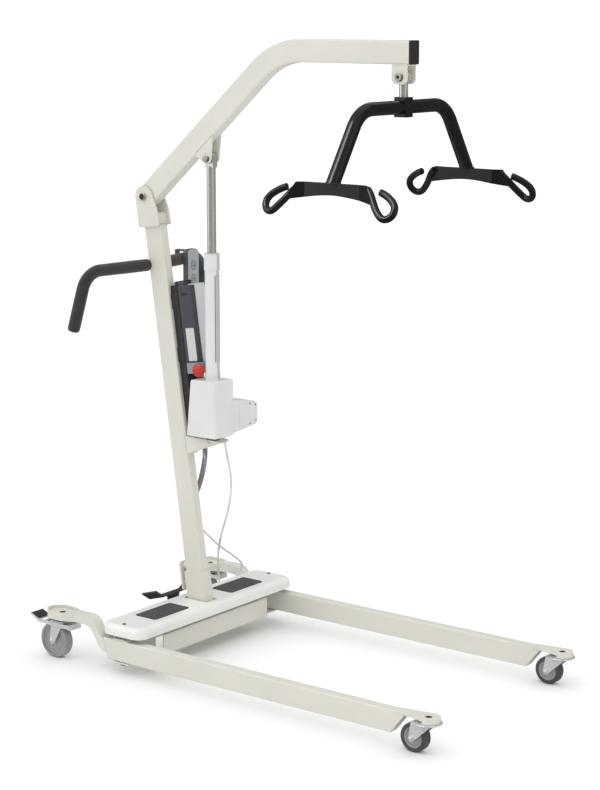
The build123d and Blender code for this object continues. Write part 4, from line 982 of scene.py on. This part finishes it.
def make_wheel_details():
    """Ridges on the wheel centres, domed axle ends and swivel rings."""
    dome = [(0.0, 1.6), (2.6, 1.4), (4.4, 0.7), (5.0, -0.3)]
    race = [(26.5, -0.8), (33.0, -0.8), (34.5, 0.4), (34.0, 2.2), (31.0, 3.0), (26.5, 3.0), (26.5, -0.8)]
    for side_name, _ in SIDES:
        for place, ridges, rim in (("front", (14.0, 19.5), 27.0), ("rear", (15.0, 22.0, 29.0), 38.0)):
            wheel = joint_place(f"{side_name}_{place}_wheel_spin")
            rings = [((q - 1.0, 7.6), (q - 0.6, 9.0), (q + 0.6, 9.0), (q + 1.0, 7.6)) for q in ridges]
            rings.append(((rim - 2.4, 11.2), (rim - 1.8, 12.1), (rim - 0.4, 12.1), (rim, 11.2)))
            for face, face_name in ((-1, "near"), (1, "far")):
                out = Y_AXIS * face
                shapes = [turned([(r * MM, h * MM) for r, h in ring], wheel, out, 56) for ring in rings]
                name = f"{side_name}_{place}_wheel_rings_{face_name}"
                add_object(name, mesh_from(name, *joined(*shapes), angle=50), f"{side_name}_{place}_wheel",
                           "hub_plastic")
                add_turned(f"{side_name}_{place}_axle_dome_{face_name}", dome, wheel + out * (23.0 * MM), out,
                           f"{side_name}_{place}_swivel", "zinc_steel", EXTRA["bright_dome"], 24)
        swivel = joint_place(f"{side_name}_front_caster_swivel")
        add_turned(f"{side_name}_swivel_ring", race, swivel, Z_AXIS, f"{side_name}_front_swivel",
                   "zinc_steel", EXTRA["bright_dome"], 64)


make_wheel_details()


def make_leg_bolts():
    """Bolt and washer behind each leg, where the rear arm is clamped."""
    head = [(u * MM, v * MM) for u, v in hexagon(11.0)]
    for side_name, sign in SIDES:
        arm = NODES[f"{side_name}_rear_arm"]
        found, place, _, _ = arm.ray_cast(at(-260, sign * 320, 66), X_AXIS)
        if not found:
            continue
        body = f"{side_name}_leg_assembly"
        add_turned(f"{side_name}_clamp_washer", ring_profile(3.0, 8.0, 1.8), place, -X_AXIS, body,
                   "bolt_steel", around=32)
        shape = outline_plate(head, 8 * MM, place - X_AXIS * 1.2 * MM, -Y_AXIS, Z_AXIS)
        name = f"{side_name}_clamp_bolt"
        add_object(name, mesh_from(name, *shape), body, "bolt_steel", bevel=0.6 * MM)


make_leg_bolts()


# ---------------------------------------------------------------- stage

STAGE_WHITE = srgb(252, 252, 252)


def make_floor():
    floor_mesh = bpy.data.meshes.new("floor")
    half = 60.0
    corners = [(-half, -half, 0), (half, -half, 0), (half, half, 0), (-half, half, 0)]
    floor_mesh.from_pydata(corners, [], [(0, 1, 2, 3)])
    floor = bpy.data.objects.new("floor", floor_mesh)
    bpy.context.scene.collection.objects.link(floor)
    f = Finish("pale_floor")
    f.set(colour=STAGE_WHITE, roughness=1.0, specular=0.0)
    floor_mesh.materials.append(f.material)
    floor.visible_glossy = False


def make_world():
    """White for the camera, a white dome for diffuse light, a darker room with soft boxes for reflections."""
    world = bpy.data.worlds.new("studio")
    bpy.context.scene.world = world
    world.use_nodes = True
    tree = world.node_tree
    tree.nodes.clear()
    rays = tree.nodes.new("ShaderNodeLightPath")
    way = tree.nodes.new("ShaderNodeTexCoord").outputs["Generated"]

    def patch(direction, edge, core):
        """1 inside a soft round box seen in a direction, 0 outside; edge and core are cosines."""
        dot = tree.nodes.new("ShaderNodeVectorMath")
        dot.operation = "DOT_PRODUCT"
        dot.inputs[1].default_value = Vector(direction).normalized()
        tree.links.new(way, dot.inputs[0])
        soft = tree.nodes.new("ShaderNodeMapRange")
        soft.interpolation_type = "SMOOTHSTEP"
        soft.inputs["From Min"].default_value = edge
        soft.inputs["From Max"].default_value = core
        tree.links.new(dot.outputs["Value"], soft.inputs["Value"])
        return soft.outputs["Result"]

    def total(start, parts):
        value = None
        for strength, socket in parts:
            step = tree.nodes.new("ShaderNodeMath")
            step.operation = "MULTIPLY_ADD"
            tree.links.new(socket, step.inputs[0])
            step.inputs[1].default_value = strength
            if value is None:
                step.inputs[2].default_value = start
            else:
                tree.links.new(value, step.inputs[2])
            value = step.outputs[0]
        return value

    def light(strength):
        shader = tree.nodes.new("ShaderNodeBackground")
        if isinstance(strength, float):
            shader.inputs["Strength"].default_value = strength
        else:
            tree.links.new(strength, shader.inputs["Strength"])
        return shader.outputs["Background"]

    def choose(factor, first, second):
        mix = tree.nodes.new("ShaderNodeMixShader")
        tree.links.new(factor, mix.inputs[0])
        tree.links.new(first, mix.inputs[1])
        tree.links.new(second, mix.inputs[2])
        return mix.outputs["Shader"]

    dome = light(total(DOME_LOW, (
        (DOME_TOP, patch((0, 0, 1), 0.0, 0.9)),
        (DOME_KEY, patch((-0.2, -1, 0.5), 0.3, 0.95)),
    )))
    room = light(total(ROOM_LOW, (
        (ROOM_TOP, patch((0, 0, 1), 0.55, 0.95)),
        (ROOM_KEY, patch((-0.9, -0.75, 0.45), 0.80, 0.93)),
        (ROOM_SPARK, patch((-0.35, -0.75, 0.9), 0.955, 0.975)),
        (ROOM_SIDE, patch((1.0, -0.1, 0.35), 0.80, 0.97)),
    )))
    seen = choose(rays.outputs["Is Glossy Ray"], dome, room)
    seen = choose(rays.outputs["Is Camera Ray"], seen, light(1.4))
    out = tree.nodes.new("ShaderNodeOutputWorld")
    tree.links.new(seen, out.inputs["Surface"])


DOME_LOW, DOME_TOP, DOME_KEY = 0.80, 0.66, 0.30
ROOM_LOW, ROOM_TOP, ROOM_KEY, ROOM_SIDE = 0.16, 0.7, 1.6, 0.6
ROOM_SPARK = 9.0
CAMERA_PLACE = Vector((3.25503, -4.23712, 1.79469))
CAMERA_LOOK = Vector((-0.5970, 0.7797, -0.1888))
CAMERA_LENS = 92.44  # mm, for a 36 mm long side


def make_camera():
    data = bpy.data.cameras.new("camera")
    data.lens = CAMERA_LENS
    data.sensor_width = 36.0
    data.clip_end = 500.0
    camera = bpy.data.objects.new("camera", data)
    bpy.context.scene.collection.objects.link(camera)
    camera.location = CAMERA_PLACE
    camera.rotation_mode = "QUATERNION"
    camera.rotation_quaternion = CAMERA_LOOK.to_track_quat("-Z", "Y")
    bpy.context.scene.camera = camera


make_floor()
make_world()
make_camera()
bpy.context.scene.view_settings.view_transform = "Standard"
